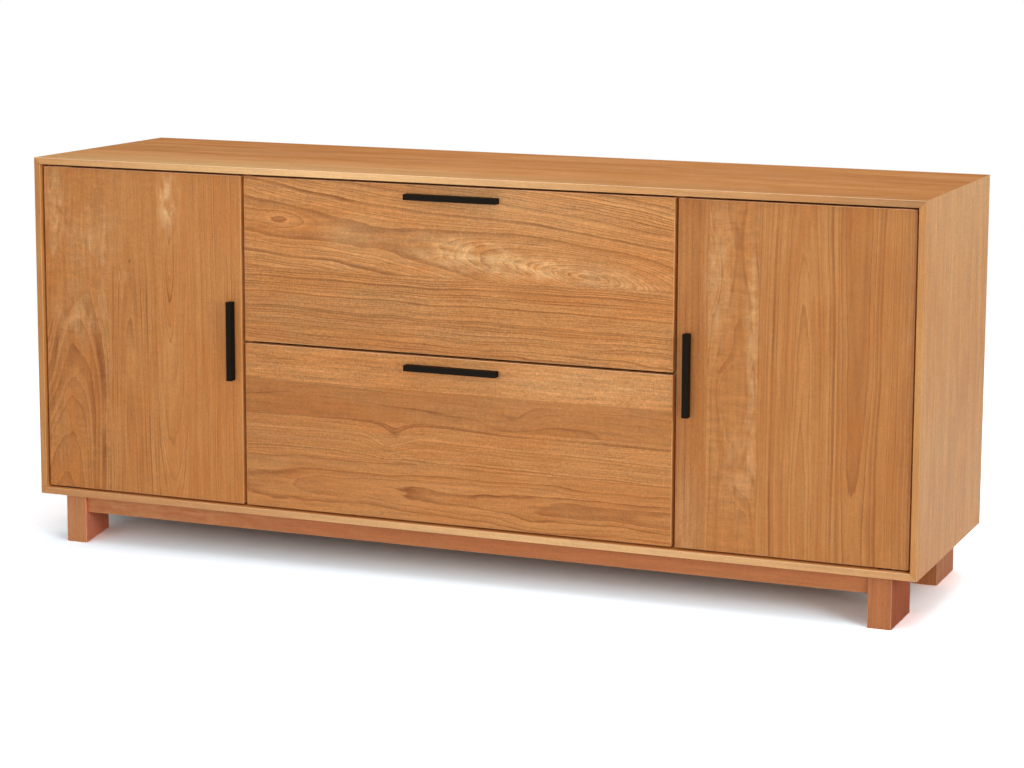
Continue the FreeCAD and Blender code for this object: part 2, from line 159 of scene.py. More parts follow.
def parted(vector):
    return list(fedNode("ShaderNodeSeparateXYZ", (vector,)).outputs)


def noise(vector, seed=0.0, detail=2.0, roughness=0.5, distortion=0.0):
    node = fedNode("ShaderNodeTexNoise", (), vector.id_data, noise_dimensions="4D")
    for label, value in {
        "Vector": vector,
        "W": seed,
        "Scale": 1.0,
        "Detail": detail,
        "Roughness": roughness,
        "Distortion": distortion,
    }.items():
        feed(node.inputs[label], value)
    return node.outputs


def noiseAlong(value, detail):
    node = fedNode("ShaderNodeTexNoise", (), value.id_data, noise_dimensions="1D")
    for label, given in {"W": value, "Scale": 1.0, "Detail": detail}.items():
        feed(node.inputs[label], given)
    return node.outputs[0]


def rise(value, low, high):
    # 0 below low, 1 above high, smooth between.
    values = (value, low, high)
    return fedNode("ShaderNodeMapRange", values, interpolation_type="SMOOTHSTEP").outputs[0]


def mixed(amount, first, second):
    node = fedNode("ShaderNodeMix", (amount,), data_type="RGBA")
    feed(node.inputs[6], first)
    feed(node.inputs[7], second)
    return node.outputs[2]


socketKinds = {"vector": "NodeSocketVector", "colour": "NodeSocketColor"}


def startGroup(name, inputs, outputs):
    # An input has its start value, or the word vector or colour. An output is named after
    # its kind, or it is a plain value.
    tree = bpy.data.node_groups.new(name, "ShaderNodeTree")
    for label, start in inputs.items():
        kind = socketKinds.get(start, "NodeSocketFloat")
        socket = tree.interface.new_socket(label, in_out="INPUT", socket_type=kind)
        if start not in socketKinds:
            socket.default_value = start
    for label in outputs:
        kind = socketKinds.get(label.lower(), "NodeSocketFloat")
        tree.interface.new_socket(label, in_out="OUTPUT", socket_type=kind)
    return tree, tree.nodes.new("NodeGroupInput").outputs, tree.nodes.new("NodeGroupOutput").inputs


def placeGroup(tree, group, values):
    node = tree.nodes.new("ShaderNodeGroup")
    node.node_tree = group
    for label, value in values.items():
        feed(node.inputs[label], value)
    return node.outputs


def startMaterial(name):
    material = bpy.data.materials.new(name)
    material.use_nodes = True
    tree = material.node_tree
    place = tree.nodes.new("ShaderNodeTexCoord").outputs["Object"]
    return material, place, tree.nodes["Principled BSDF"]


def bumped(shader, height, depth):
    node = shader.id_data.nodes.new("ShaderNodeBump")
    node.inputs["Strength"].default_value = 1.0
    node.inputs["Distance"].default_value = depth
    feed(node.inputs["Height"], height)
    feed(shader.inputs["Normal"], node.outputs[0])


# The wood's noises: scale along the grain, scale across it, detail, roughness, distortion.
grainNoises = {
    "broad": (2.6, 9.0, 2.0, 0.5, 0.0),
    "swell": (5.0, 21.0, 1.0, 0.5, 0.0),
    "wave": (14.0, 55.0, 3.0, 0.5, 0.0),
    "fray": (38.0, 420.0, 2.0, 0.65, 0.0),
    "fade": (7.0, 28.0, 3.0, 0.5, 0.0),
    "bend": (5.0, 14.0, 2.0, 0.5, 0.0),
    "streaks": (9.0, 150.0, 4.0, 0.66, 0.0),
    "fine": (22.0, 900.0, 1.0, 0.5, 0.0),
    "pores": (70.0, 1500.0, 1.0, 0.5, 0.0),
    "shimmer": (95.0, 26.0, 3.0, 0.62, 0.0),
    "fleck": (120.0, 430.0, 2.0, 0.75, 0.0),
    "ray": (340.0, 150.0, 2.0, 0.7, 0.0),
    "cloud": (4.5, 15.0, 3.0, 0.55, 0.8),
    "ruffle": (28.0, 75.0, 4.0, 0.5, 0.6),
    "smear": (30.0, 30.0, 3.0, 0.5, 0.0),
}


def grainNoise(grain, name, seed=0.0):
    along, across, *look = grainNoises[name]
    return noise(vectorCalc("MULTIPLY", grain, (along, across, across)), seed, *look)


def grainShift(grain, name, seed, reach):
    # Three lengths either way, up to half of reach.
    shift = grainNoise(grain, name, seed)[1]
    return scaled(vectorCalc("SUBTRACT", shift, (0.5, 0.5, 0.5)), reach)


# What a stave starts with. Lengths are in metres.
pastEdge = 9.0
staveStart = {
    "to": pastEdge,  # where its glue line is, across the board
    "pith": 0.0,
    "deep": 0.06,
    "drift": 0.0,
    "slope": 0.03,
    "bow": 0.0,
    "bowAt": 0.0,
    "pitch": 0.0055,
    "wander": 0.012,
    "curl": 0.0022,
    "seed": 0.0,
    "tone": 0.0,
    "lines": 0.5,
    "warmth": 0.0,  # towards the warm colour, 0 to 1
    "fleck": 0.6,
    "calm": pastEdge,  # where along the board the lines fade out
    "soft": 0.3,  # how much of a ring is soft shade, not a thin line
    "shimmer": 0.12,
    "fibre": 0.3,
    "even": 0.0,  # 1 makes every ring's line as strong as the next
    "early": 0.08,  # how pale each ring starts
    "pores": 0.3,
}
staveKeys = [key for key in staveStart if key != "to"]
ringKeys = [
    *("pith", "deep", "drift", "slope", "bow", "bowAt"),
    *("pitch", "wander", "curl", "seed", "soft", "even"),
]
strengthKeys = ["early", "pores", "cloud", "fibre", "fleck", "shimmer"]
ringShape = {
    "swell": 2.2,  # long waves, in curls
    "fray": 0.0016,
    "unevenEvery": 0.36,  # how fast the rings' widths change, and by how much
    "unevenBy": 3.6,
    "strength": (0.8, 0.3),  # of a ring's line: its spread and its least
    "evenStrength": 0.55,
    "fadeRise": (0.36, 0.62),
    "fade": (0.8, 0.2),
    "broadRise": (0.15, 0.92),
    "thinRise": (0.62, 0.92),
    "lateEnd": (0.93, 1.0),
    "earlyEnd": (0.02, 0.3),
    "bandEvery": 0.42,
}


def makeRingGroup(shape):
    # A tree's yearly rings cut by the board. Grain holds three lengths: along the grain, across
    # the board, and down from its face. The pith lies deep beyond the face, and it drifts
    # across and tips (slope), or bends (bow), so that the rings meet the face in arches.
    tree, given, out = startGroup(
        "growth rings",
        {"Grain": "vector", "Push": 0.0, **{key: staveStart[key] for key in ringKeys}},
        ["Late Wood", "Early Wood", "Band"],
    )
    grain, seed, curl = given["Grain"], given["seed"], given["curl"]
    along, across, deep = parted(grain)
    shiftAcross, shiftDeep = parted(grainShift(grain, "broad", seed, given["wander"]))[:2]
    fromBow = minus(along, given["bowAt"])
    sideways = minus(across, timesPlus(fromBow, given["drift"], given["pith"]))
    sideways = timesPlus(shiftAcross, 2.0, sideways)
    behind = timesPlus(fromBow, given["slope"], plus(deep, given["deep"]))
    behind = timesPlus(times(fromBow, fromBow), given["bow"], behind)
    behind = timesPlus(shiftDeep, 2.0, behind)
    radius = plus(vectorCalc("LENGTH", joined(sideways, behind, 0.0)), given["Push"])
    # Long and short waves, then frayed fibres that draw each ring out along the grain.
    waves = {"swell": times(curl, shape["swell"]), "wave": curl, "fray": shape["fray"]}
    for name, reach in waves.items():
        wave = minus(grainNoise(grain, name, seed)[0], 0.5)
        radius = timesPlus(wave, reach, radius)
    count = calc("DIVIDE", radius, given["pitch"])
    uneven = noiseAlong(timesPlus(count, shape["unevenEvery"], seed), detail=3.0)
    count = timesPlus(uneven, shape["unevenBy"], count)
    share = calc("FRACT", count)
    number = plus(minus(count, share), seed)
    chance = fedNode("ShaderNodeTexWhiteNoise", (), tree, noise_dimensions="1D")
    feed(chance.inputs["W"], number)
    chance = chance.outputs["Value"]
    weight = timesPlus(times(chance, chance), *shape["strength"])
    # Lines fade in and out along the board.
    fade = rise(grainNoise(grain, "fade", seed)[0], *shape["fadeRise"])
    weight = times(weight, timesPlus(fade, *shape["fade"]))
    weight = plus(weight, times(minus(shape["evenStrength"], weight), given["even"]))
    broadPart = calc("POWER", rise(share, *shape["broadRise"]), 2.0)
    thinPart = rise(share, *shape["thinRise"])
    climb = plus(thinPart, times(minus(broadPart, thinPart), given["soft"]))
    fall = minus(1.0, rise(share, *shape["lateEnd"]))
    feed(out["Late Wood"], times(times(climb, fall), weight))
    early = minus(1.0, rise(share, *shape["earlyEnd"]))
    feed(out["Early Wood"], times(early, weight))
    feed(out["Band"], noiseAlong(timesPlus(count, shape["bandEvery"], seed), detail=2.0))
    return tree


fibreShape = {"bend": 0.008, "streakRise": (0.3, 0.7), "fine": 0.4, "poreRise": (0.675, 0.755)}


def makeFibreGroup(shape):
    # Fine streaks, short open pores, and the soft shimmer and flecks across the grain.
    tree, given, out = startGroup(
        "fibres and pores",
        {"Grain": "vector", "seed": 0.0},
        ["Fibre", "Pores", "Shimmer", "Fleck", "Cloud"],
    )
    seed = given["seed"]
    bend = grainShift(given["Grain"], "bend", seed, shape["bend"])
    bent = vectorCalc("ADD", given["Grain"], bend)

    def stretched(name):
        return grainNoise(bent, name, seed)[0]

    streaks = times(rise(stretched("streaks"), *shape["streakRise"]), 1.0 - shape["fine"])
    feed(out["Fibre"], timesPlus(stretched("fine"), shape["fine"], streaks))
    feed(out["Pores"], rise(stretched("pores"), *shape["poreRise"]))
    feed(out["Shimmer"], stretched("shimmer"))
    feed(out["Fleck"], timesPlus(stretched("ray"), 0.5, times(stretched("fleck"), 0.5)))
    feed(out["Cloud"], stretched("cloud"))
    return tree


knotShape = {"coreFall": -14.0, "ruffleRise": (0.3, 0.72)}
knotLabels = ("Along", "Across", "Long", "Wide", "Push", "Dark", "Shine", "Ruffle")


def makeKnotGroup(shape):
    # A swirl round a small knot or a curl: how far it pushes the rings, how dark its middle is,
    # and how strong the painted highlight round it is, even or in ruffles.
    tree, given, out = startGroup(
        "knot swirl",
        {"Grain": "vector", **dict.fromkeys(knotLabels, 0.0)},
        ["Push", "Dark", "Shine"],
    )
    along, across = parted(given["Grain"])[:2]
    u = calc("DIVIDE", minus(along, given["Along"]), given["Long"])
    v = calc("DIVIDE", minus(across, given["Across"]), given["Wide"])
    away = plus(times(u, u), times(v, v))
    near = calc("POWER", math.e, times(away, -1.0))
    core = calc("POWER", math.e, times(away, shape["coreFall"]))
    feed(out["Push"], times(near, given["Push"]))
    feed(out["Dark"], times(core, given["Dark"]))
    ruffle = rise(grainNoise(given["Grain"], "ruffle")[0], *shape["ruffleRise"])
    ruffle = timesPlus(minus(ruffle, 1.0), given["Ruffle"], 1.0)
    feed(out["Shine"], times(times(near, given["Shine"]), ruffle))
    return tree


woodFinish = {
    "bandRise": (0.2, 0.8),
    "bandWarmth": 0.4,
    "cloudRise": (0.32, 0.68),
    "cloudWarmth": 0.6,
    "dark": "#5A2E18",
    # The shine colour is a painted highlight, for pale shimmering patches and lit spots.
    "shine": "#E2B57E",
    # The arris colour is a painted highlight on the eased edges.
    "arris": "#F2D0AA",
    "arrisShare": 0.24,
    "roughness": 0.5,
    "poreRoughness": 0.15,
    "fibreRoughness": 0.08,
    "lateHeight": 0.25,
}
patternLabels = [
    *("Late Wood", "Early Wood", "Band", "Fibre", "Pores", "Shimmer", "Fleck", "Cloud"),
    *("Dark", "Shine", "Tone", "Warmth", "Lines", "Arris"),
]


def makeWoodColourGroup(finish):
    tree, given, out = startGroup(
        "wood colour",
        {
            **dict.fromkeys(("Pale", "Warm", "Line"), "colour"),
            **dict.fromkeys(patternLabels, 0.0),
            **{key + " strength": 0.0 for key in strengthKeys},
        },
        ["Colour", "Roughness", "Height"],
    )
    band = rise(given["Band"], *finish["bandRise"])
    warmth = timesPlus(band, finish["bandWarmth"], given["Warmth"])
    cloud = rise(given["Cloud"], *finish["cloudRise"])
    warmth = timesPlus(cloud, finish["cloudWarmth"], warmth)
    body = mixed(plus(warmth, 0.0, clamp=True), given["Pale"], given["Warm"])
    # Mixed over the body: ring lines, pores, dark knot cores, then the painted highlights of the
    # shine and of the arrises.
    for share, colour in (
        (times(given["Late Wood"], given["Lines"], clamp=True), given["Line"]),
        (times(given["Pores"], given["pores strength"]), given["Line"]),
        (plus(given["Dark"], 0.0, clamp=True), colourOf(finish["dark"])),
        (plus(given["Shine"], 0.0, clamp=True), colourOf(finish["shine"])),
        (times(given["Arris"], finish["arrisShare"], clamp=True), colourOf(finish["arris"])),
    ):
        body = mixed(share, body, colour)
    # Brightness: stave by stave, then fibres, shimmer, flecks, cloud and each ring's pale start.
    light = plus(given["Tone"], 1.0)
    for label in ("Fibre", "Shimmer", "Fleck", "Cloud"):
        strength = given[label.lower() + " strength"]
        light = timesPlus(minus(given[label], 0.5), strength, light)
    early = times(given["Early Wood"], given["Lines"])
    light = timesPlus(early, given["early strength"], light)
    feed(out["Colour"], scaled(body, light))
    rough = timesPlus(given["Pores"], finish["poreRoughness"], finish["roughness"])
    feed(out["Roughness"], timesPlus(given["Fibre"], finish["fibreRoughness"], rough))
    high = timesPlus(given["Late Wood"], finish["lateHeight"], given["Fibre"])
    feed(out["Height"], minus(high, given["Pores"]))
    return tree


ringGroup = makeRingGroup(ringShape)
fibreGroup = makeFibreGroup(fibreShape)
knotGroup = makeKnotGroup(knotShape)
woodColourGroup = makeWoodColourGroup(woodFinish)

# Wood: one function makes them all, from a dictionary for each board. Grain names the axes
# along the grain, across the board and down from its face.
cherryColours = {"Pale": "#CB9056", "Warm": "#B4743B", "Line": "#8A5023"}
baseColours = {"Pale": "#C27E51", "Warm": "#B46C45", "Line": "#8F4B2E"}
mapleColours = {"Pale": "#DCC096", "Warm": "#CFAE7E", "Line": "#B58F5C"}
boardStart = {
    "colours": cherryColours,
    "face": 0.0,
    "knots": [],
    "glue": 0.0,  # how dark its glue lines are
    "mitres": 0.0,  # how dark the hairline is where two case boards meet
    "cloud": 0.3,
    "sheen": 0.25,
    "tint": (1.0, 1.0, 1.0),
}
seams = {"caseMiddle": 0.43, "mitreOut": 0.555, "mitreWide": 0.0004, "glueWide": 0.0005}
calming = {"reach": 0.07, "left": 0.15}
woodBump = 0.0001


def staveValues(across, staves):
    # Every value of the staves as a socket that steps at each glue line.
    steps = [calc("GREATER_THAN", across, strip["to"]) for strip in staves[:-1]]
    found = {}
    for first in range(0, len(staveKeys), 3):
        keys = staveKeys[first : first + 3]
        vectors = [Vector([strip[key] for key in keys]) for strip in staves]
        total = joined(*vectors[0], tree=across.id_data)
        for step, before, after in zip(steps, vectors, vectors[1:]):
            total = vectorCalc("MULTIPLY_ADD", step, tuple(after - before), total)
        found.update(zip(keys, parted(total)))
    return found


def woodMaterial(name, given):
    board = {**boardStart, **given}
    material, place, shader = startMaterial(name)
    tree = material.node_tree
    x, y, z = parted(place)
    axes = {"x": x, "y": y, "z": z}
    along, across, deep = (axes[letter] for letter in board["grain"])
    grain = joined(along, across, minus(deep, board["face"]))
    values = staveValues(across, board["staves"])
    push, dark, shine = 0.0, 0.0, 0.0
    # Each knot adds its push, its dark core and its painted highlight.
    for one in board["knots"]:
        swirl = placeGroup(tree, knotGroup, {"Grain": grain, **one})
        push = plus(push, swirl["Push"])
        dark = plus(dark, swirl["Dark"])
        shine = plus(shine, swirl["Shine"])
    for strip in board["staves"][:-1] if board["glue"] else []:
        seam = calc("COMPARE", across, strip["to"], seams["glueWide"])
        dark = timesPlus(seam, board["glue"], dark)
    if board["mitres"]:
        level = calc("ABSOLUTE", minus(z, seams["caseMiddle"]))
        outward = minus(calc("ABSOLUTE", x), level)
        seam = calc("COMPARE", outward, seams["mitreOut"], seams["mitreWide"])
        dark = timesPlus(seam, board["mitres"], dark)
    ringValues = {key: values[key] for key in ringKeys}
    rings = placeGroup(tree, ringGroup, {"Grain": grain, "Push": push, **ringValues})
    fibres = placeGroup(tree, fibreGroup, {"Grain": grain, "seed": values["seed"]})
    past = rise(minus(along, values["calm"]), -calming["reach"], calming["reach"])
    # The arris mask places the painted highlight on the eased edges.
    arris = tree.nodes.new("ShaderNodeAttribute")
    arris.attribute_name = "arris"
    values["cloud"] = board["cloud"]
    finish = placeGroup(
        tree,
        woodColourGroup,
        {
            **{part: colourOf(code, board["tint"]) for part, code in board["colours"].items()},
            **{pattern.name: pattern for pattern in (*rings, *fibres)},
            **{key + " strength": values[key] for key in strengthKeys},
            "Dark": dark,
            "Shine": shine,
            "Tone": values["tone"],
            "Warmth": values["warmth"],
            "Lines": times(timesPlus(past, calming["left"] - 1.0, 1.0), values["lines"]),
            "Arris": arris.outputs["Fac"],
        },
    )
    feed(shader.inputs["Base Color"], finish["Colour"])
    feed(shader.inputs["Roughness"], finish["Roughness"])
    shader.inputs["Specular IOR Level"].default_value = board["sheen"]
    bumped(shader, finish["Height"], woodBump)
    return material


def stave(to=pastEdge, **more):
    return {**staveStart, "to": to, **more}


# A knot's shine is a painted highlight.
def knot(*place, push=0.0, dark=0.0, shine=0.0, ruffle=1.0):
    return dict(zip(knotLabels, (*place, push, dark, shine, ruffle)))


quiet = {
    "waves": (7.3, 2.4),  # a stave's own wave, from the board's seed and the stave's number
    "slopeWaves": (3.0, 1.7),
    "seedStep": 3.1,
    "pithReach": 0.09,
    "deep": (0.07, 0.03),
    "slope": 0.012,
    "toneReach": 0.05,
    "seamReach": 0.18,
    "pitch": 0.0045,
    "lines": 0.4,
}


def straightStaves(low, high, count, seed, **more):
    # Quiet rift-cut staves of about one width, for the boards nobody looks at first.
    width = (high - low) / count
    bySeed, byNumber = quiet["waves"]
    slopeBySeed, slopeByNumber = quiet["slopeWaves"]
    made = []
    for i in range(count):
        wave = math.sin(seed * bySeed + i * byNumber)
        start = {
            "pith": low + width * (i + 0.5) + quiet["pithReach"] * wave,
            "deep": quiet["deep"][0] + quiet["deep"][1] * math.cos(seed + i),
            "slope": quiet["slope"] * math.cos(seed * slopeBySeed + i * slopeByNumber),
            "seed": seed + i * quiet["seedStep"],
            "tone": quiet["toneReach"] * wave,
            "pitch": quiet["pitch"],
            "lines": quiet["lines"],
        }
        seam = low + width * (i + 1 + quiet["seamReach"] * wave)
        made.append(stave(seam, **{**start, **more}))
    return made


topBoard = {
    "grain": "xyz",
    "face": 0.764,
    "staves": straightStaves(
        -0.238, 0.247, 5, 11.0, lines=0.28, pitch=0.006, wander=0.016, curl=0.004,
        fleck=0.45, fibre=0.2,
    ),
    # A painted highlight along the front of the top, left of the middle.
    "knots": [knot(-0.5, -0.23, 0.7, 0.11, shine=0.8, ruffle=0.15)],
    "glue": 0.1,
    "sheen": 0.0,
    "cloud": 0.14,
    "tint": (1.1, 1.12, 1.34),
}
bottomBoard = {
    "grain": "xyz",
    "face": 0.096,
    "staves": straightStaves(-0.238, 0.247, 5, 23.0),
    "glue": 0.1,
}
# The sides are paler than the fronts: partly their own tone, partly painted light from the lamp on
# the right.
sideBoard = {
    "grain": "zyx",
    "face": 0.889,
    "staves": straightStaves(
        -0.238, 0.247, 5, 37.0, lines=0.25, wander=0.006, tone=0.0, pitch=0.003,
        fleck=1.1, fibre=0.4,
    ),
    "knots": [
        knot(0.77, 0.15, 0.13, 0.4, shine=0.35, ruffle=0.2),
        knot(0.22, -0.2, 0.9, 1.1, dark=0.12),
    ],
    "cloud": 0.24,
    "tint": (1.14, 1.2, 1.14),
}
backBoard = {
    "grain": "zxy",
    "face": 0.247,
    "staves": straightStaves(-0.883, 0.883, 9, 41.0, lines=0.45),
    "glue": 0.1,
}
partitionBoard = {"grain": "zyx", "face": 0.435, "staves": straightStaves(-0.24, 0.25, 4, 53.0)}
shelfBoard = {"grain": "xyz", "face": 0.43, "staves": straightStaves(-0.24, 0.25, 4, 59.0)}

# The front edges of the case, of paler wood.
topEdge = {
    "grain": "xzy",
    "face": -0.238,
    "staves": [stave(pith=0.6, deep=0.2, slope=0.05, curl=0.004, lines=0.35, tone=0.15)],
    "mitres": 0.45,
    # Painted light on the top edge: a highlight left of the middle, and painted shade darkening it
    # towards its right end.
    "knots": [
        knot(-0.25, 0.75, 0.42, 1.0, shine=1.0, ruffle=0.1),
        knot(0.95, 0.75, 1.0, 1.0, dark=0.5),
    ],
    "tint": (1.02, 1.15, 1.36),
}
bottomEdge = {
    **topEdge,
    "staves": [{**topEdge["staves"][0], "tone": 0.03}],
    # A broad painted highlight on the bottom edge, right of the middle.
    "knots": [knot(0.2, 0.1, 0.7, 1.0, shine=0.95, ruffle=0.1)],
    "tint": (0.96, 0.97, 1.12),
}
upEdge = {
    "grain": "zxy",
    "face": -0.238,
    "staves": [stave(pith=0.2, deep=0.2, slope=0.04, curl=0.004, lines=0.35)],
    "mitres": 0.45,
    "tint": (1.03, 1.07, 1.05),
}

# The doors and drawer fronts, stave by stave. Their shine knots are painted highlights on the
# figure.
leftDoor = {
    "grain": "zxy",
    "face": -0.231,
    "staves": [
        stave(
            -0.731, pith=-0.803, deep=0.08, drift=0.11, slope=0.15, bowAt=0.4, pitch=0.0085,
            wander=0.008, curl=0.004, seed=3.0, lines=1.1, tone=-0.01, warmth=0.14, calm=0.47,
            soft=0.7, even=0.35, shimmer=0.5, fleck=0.9, fibre=0.4,
        ),
        stave(
            -0.623, pith=-0.684, deep=0.022, slope=0.035, bowAt=0.43, wander=0.006, curl=0.002,
            seed=8.0, tone=-0.02, lines=1.0, calm=0.55, soft=0.45, shimmer=0.3, fleck=0.8,
        ),
        stave(
            -0.558, pith=-0.592, deep=0.026, slope=-0.07, bowAt=0.3, pitch=0.005, wander=0.009,
            curl=0.003, seed=14.0, tone=0.03, lines=1.1, calm=0.62, soft=0.4, shimmer=0.3,
        ),
        stave(
            pith=-0.75, deep=0.12, slope=0.008, bowAt=0.4, pitch=0.0032, wander=0.005, curl=0.0016,
            seed=19.0, tone=0.05, lines=0.9, warmth=0.1, fleck=0.8,
        ),
    ],
    "knots": [
        knot(0.69, -0.598, 0.06, 0.022, shine=0.85),
        knot(0.571, -0.683, 0.012, 0.005, push=0.002, dark=1.0),
        knot(0.54, -0.7, 0.014, 0.012, push=0.003, shine=0.2),
        knot(0.47, -0.63, 0.012, 0.01, push=0.003, shine=0.15),
        knot(0.61, -0.77, 0.05, 0.05, shine=0.5),
        knot(0.66, -0.85, 0.09, 0.02, shine=0.6),
        knot(0.46, -0.8, 0.05, 0.05, shine=0.4),
        knot(0.38, -0.74, 0.3, 0.008, shine=0.2),
    ],
    "glue": 0.06,
    "cloud": 0.5,
    "tint": (1.0, 0.94, 0.84),
}
rightDoor = {
    "grain": "zxy",
    "face": -0.231,
    "staves": [
        stave(
            0.496, pith=0.25, deep=0.1, slope=0.008, pitch=0.0032, wander=0.003, curl=0.0012,
            seed=5.0, lines=1.0, tone=-0.01, warmth=0.3, fleck=0.9,
        ),
        stave(
            0.5906, pith=0.545, deep=0.04, wander=0.022, curl=0.006, pitch=0.008, seed=27.0,
            lines=0.9, soft=0.6, shimmer=0.8,
        ),
        stave(
            0.7355, pith=0.673, deep=0.016, slope=0.0, bow=0.07, bowAt=0.23, wander=0.007,
            curl=0.002, seed=31.0, lines=0.9, warmth=-0.1, even=0.4, soft=0.4, shimmer=0.2,
        ),
        stave(
            pith=0.77, deep=0.035, slope=-0.012, bowAt=0.5, pitch=0.0075, wander=0.007, curl=0.002,
            seed=36.0, lines=1.0, warmth=0.1, even=0.6, soft=0.7,
        ),
    ],
    "knots": [
        knot(0.62, 0.515, 0.11, 0.022, push=0.012, shine=0.55),
        knot(0.5, 0.58, 0.16, 0.01, shine=0.6),
        knot(0.27, 0.56, 0.06, 0.03, push=0.012, shine=0.4),
        knot(0.42, 0.53, 0.05, 0.025, push=-0.012, dark=0.06),
        knot(0.45, 0.865, 0.5, 0.006, shine=0.15),
        knot(0.14, 0.46, 0.12, 0.03, shine=0.3, ruffle=0.5),
    ],
    "glue": 0.06,
    "cloud": 0.36,
    "tint": (0.92, 0.86, 0.75),
}
upperFront = {
    "grain": "xzy",
    "face": -0.231,
    "staves": [
        stave(
            0.577, pith=0.395, slope=0.02, seed=44.0, wander=0.01, curl=0.005, lines=1.3,
            warmth=0.05, fleck=1.7, fibre=0.5, soft=0.4, even=0.6, early=0.22,
        ),
        stave(
            pith=0.655, deep=0.055, drift=-0.12, bow=-0.2, slope=0.0, bowAt=-0.25, pitch=0.0052,
            wander=0.011, curl=0.0045, seed=48.0, lines=1.4, tone=0.05, fleck=1.4, fibre=0.48,
            soft=0.5, shimmer=0.35, even=0.6, early=0.22,
        ),
    ],
    "knots": [
        knot(0.03, 0.62, 0.12, 0.032, shine=0.7),
        knot(0.19, 0.605, 0.1, 0.02, shine=0.7),
        knot(0.33, 0.59, 0.07, 0.014, shine=0.5),
        knot(-0.35, 0.66, 0.05, 0.05, push=-0.006),
        knot(-0.22, 0.6, 0.1, 0.02, shine=0.16),
        knot(-0.21, 0.65, 0.05, 0.025, shine=0.35, ruffle=0.5),
        knot(0.1, 0.725, 0.2, 0.045, shine=0.3, ruffle=0.5),
        knot(-0.3, 0.45, 1.2, 0.35, dark=0.12),
    ],
    "glue": 0.3,
    "cloud": 0.66,
    "tint": (1.04, 1.04, 1.02),
}
lowerFront = {
    "grain": "xzy",
    "face": -0.231,
    "staves": [
        stave(
            0.2217, pith=0.16, deep=0.03, slope=-0.03, seed=61.0, pitch=0.01, wander=0.014,
            curl=0.008, lines=1.4, even=0.3, early=0.15, fleck=1.1, fibre=0.44,
        ),
        stave(
            0.2987, pith=0.16, deep=0.09, slope=0.01, seed=66.0, pitch=0.004, wander=0.008,
            curl=0.003, lines=1.1, tone=0.01, warmth=-0.15, fleck=1.5, fibre=0.4, even=0.5,
            early=0.2,
        ),
        stave(
            0.3615, pith=0.3, deep=0.05, seed=71.0, pitch=0.008, wander=0.018, curl=0.005,
            tone=-0.05, lines=0.8, warmth=0.3, fleck=1.0, fibre=0.36, shimmer=0.3,
        ),
        stave(
            pith=0.25, deep=0.12, slope=0.012, seed=76.0, pitch=0.0038, wander=0.006, curl=0.002,
            tone=0.06, lines=0.9, warmth=-0.1, fleck=1.9, fibre=0.6,
        ),
    ],
    "knots": [
        knot(-0.117, 0.276, 0.035, 0.02, push=0.014, dark=0.4),
        knot(-0.135, 0.25, 0.03, 0.018, push=0.01, dark=0.25),
        knot(0.12, 0.325, 0.05, 0.02, push=0.014, dark=0.3),
        knot(-0.43, 0.24, 0.9, 0.6, dark=0.1),
        knot(0.25, 0.395, 0.22, 0.035, shine=0.35, ruffle=0.5),
    ],
    "glue": 0.14,
    "cloud": 0.5,
    "tint": (1.0, 0.95, 0.88),
}

# The base.
legBoard = {
    "colours": baseColours,
    "grain": "zxy",
    "face": -0.222,
    "staves": straightStaves(-0.9, 0.9, 3, 83.0, pitch=0.004, lines=0.35),
    "knots": [
        knot(0.05, -0.85, 1.0, 0.4, shine=0.2, ruffle=0.2),
        knot(0.05, 0.85, 2.0, 1.5, dark=0.12),
    ],
    "cloud": 0.15,
    "tint": (0.96, 0.94, 0.82),
}
# Painted shade: the legs' sides are darker than their fronts, for the shade under the case.
legSidePaintedShade = {
    "colours": baseColours,
    "grain": "zyx",
    "face": 0.841,
    "staves": straightStaves(-0.25, 0.25, 3, 87.0, lines=0.35),
    "cloud": 0.15,
    "sheen": 0.0,
    "tint": (0.84, 0.73, 0.95),
}
# Painted light: paler copies for the left legs' inner sides and the far right leg's side, which
# stand in the shade under the case.
legInsidePaintedLight = {**legSidePaintedShade, "tint": (1.75, 1.65, 2.3)}
legFarPaintedLight = {**legSidePaintedShade, "tint": (1.25, 1.5, 2.1)}
railBoard = {
    "colours": baseColours,
    "grain": "xzy",
    "face": -0.231,
    "staves": [stave(pith=0.2, deep=0.08, slope=0.02, seed=91.0)],
    "knots": [knot(-0.7, 0.1, 0.35, 1.0, shine=0.25)],
    "tint": (0.96, 0.93, 0.78),
}
# The sides of the doors and drawer fronts, then the inner faces of the case, both paler than the
# wood elsewhere as painted light in the shaded gaps and inside.
frontEdgePaintedLight = {"grain": "zxy", "staves": [stave(pith=0.1, deep=0.3)], "tint": (1.5, 1.8, 2.0)}
insidePaintedLightTint = (1.35, 1.5, 1.5)
insideLongPaintedLight = {"grain": "xyz", "staves": straightStaves(-0.24, 0.25, 5, 107.0), "tint": insidePaintedLightTint}
insideUpPaintedLight = {"grain": "zyx", "staves": straightStaves(-0.24, 0.25, 5, 109.0), "tint": insidePaintedLightTint}
maple = {"colours": mapleColours}
boxBoard = {**maple, "grain": "xzy", "staves": straightStaves(0.1, 0.8, 5, 97.0, lines=0.3)}
boxSideBoard = {**maple, "grain": "yzx", "staves": straightStaves(0.1, 0.8, 5, 101.0, lines=0.3)}
boxBottomBoard = {
    **maple,
    "grain": "xyz",
    "staves": straightStaves(-0.25, 0.25, 3, 103.0, lines=0.3),
}

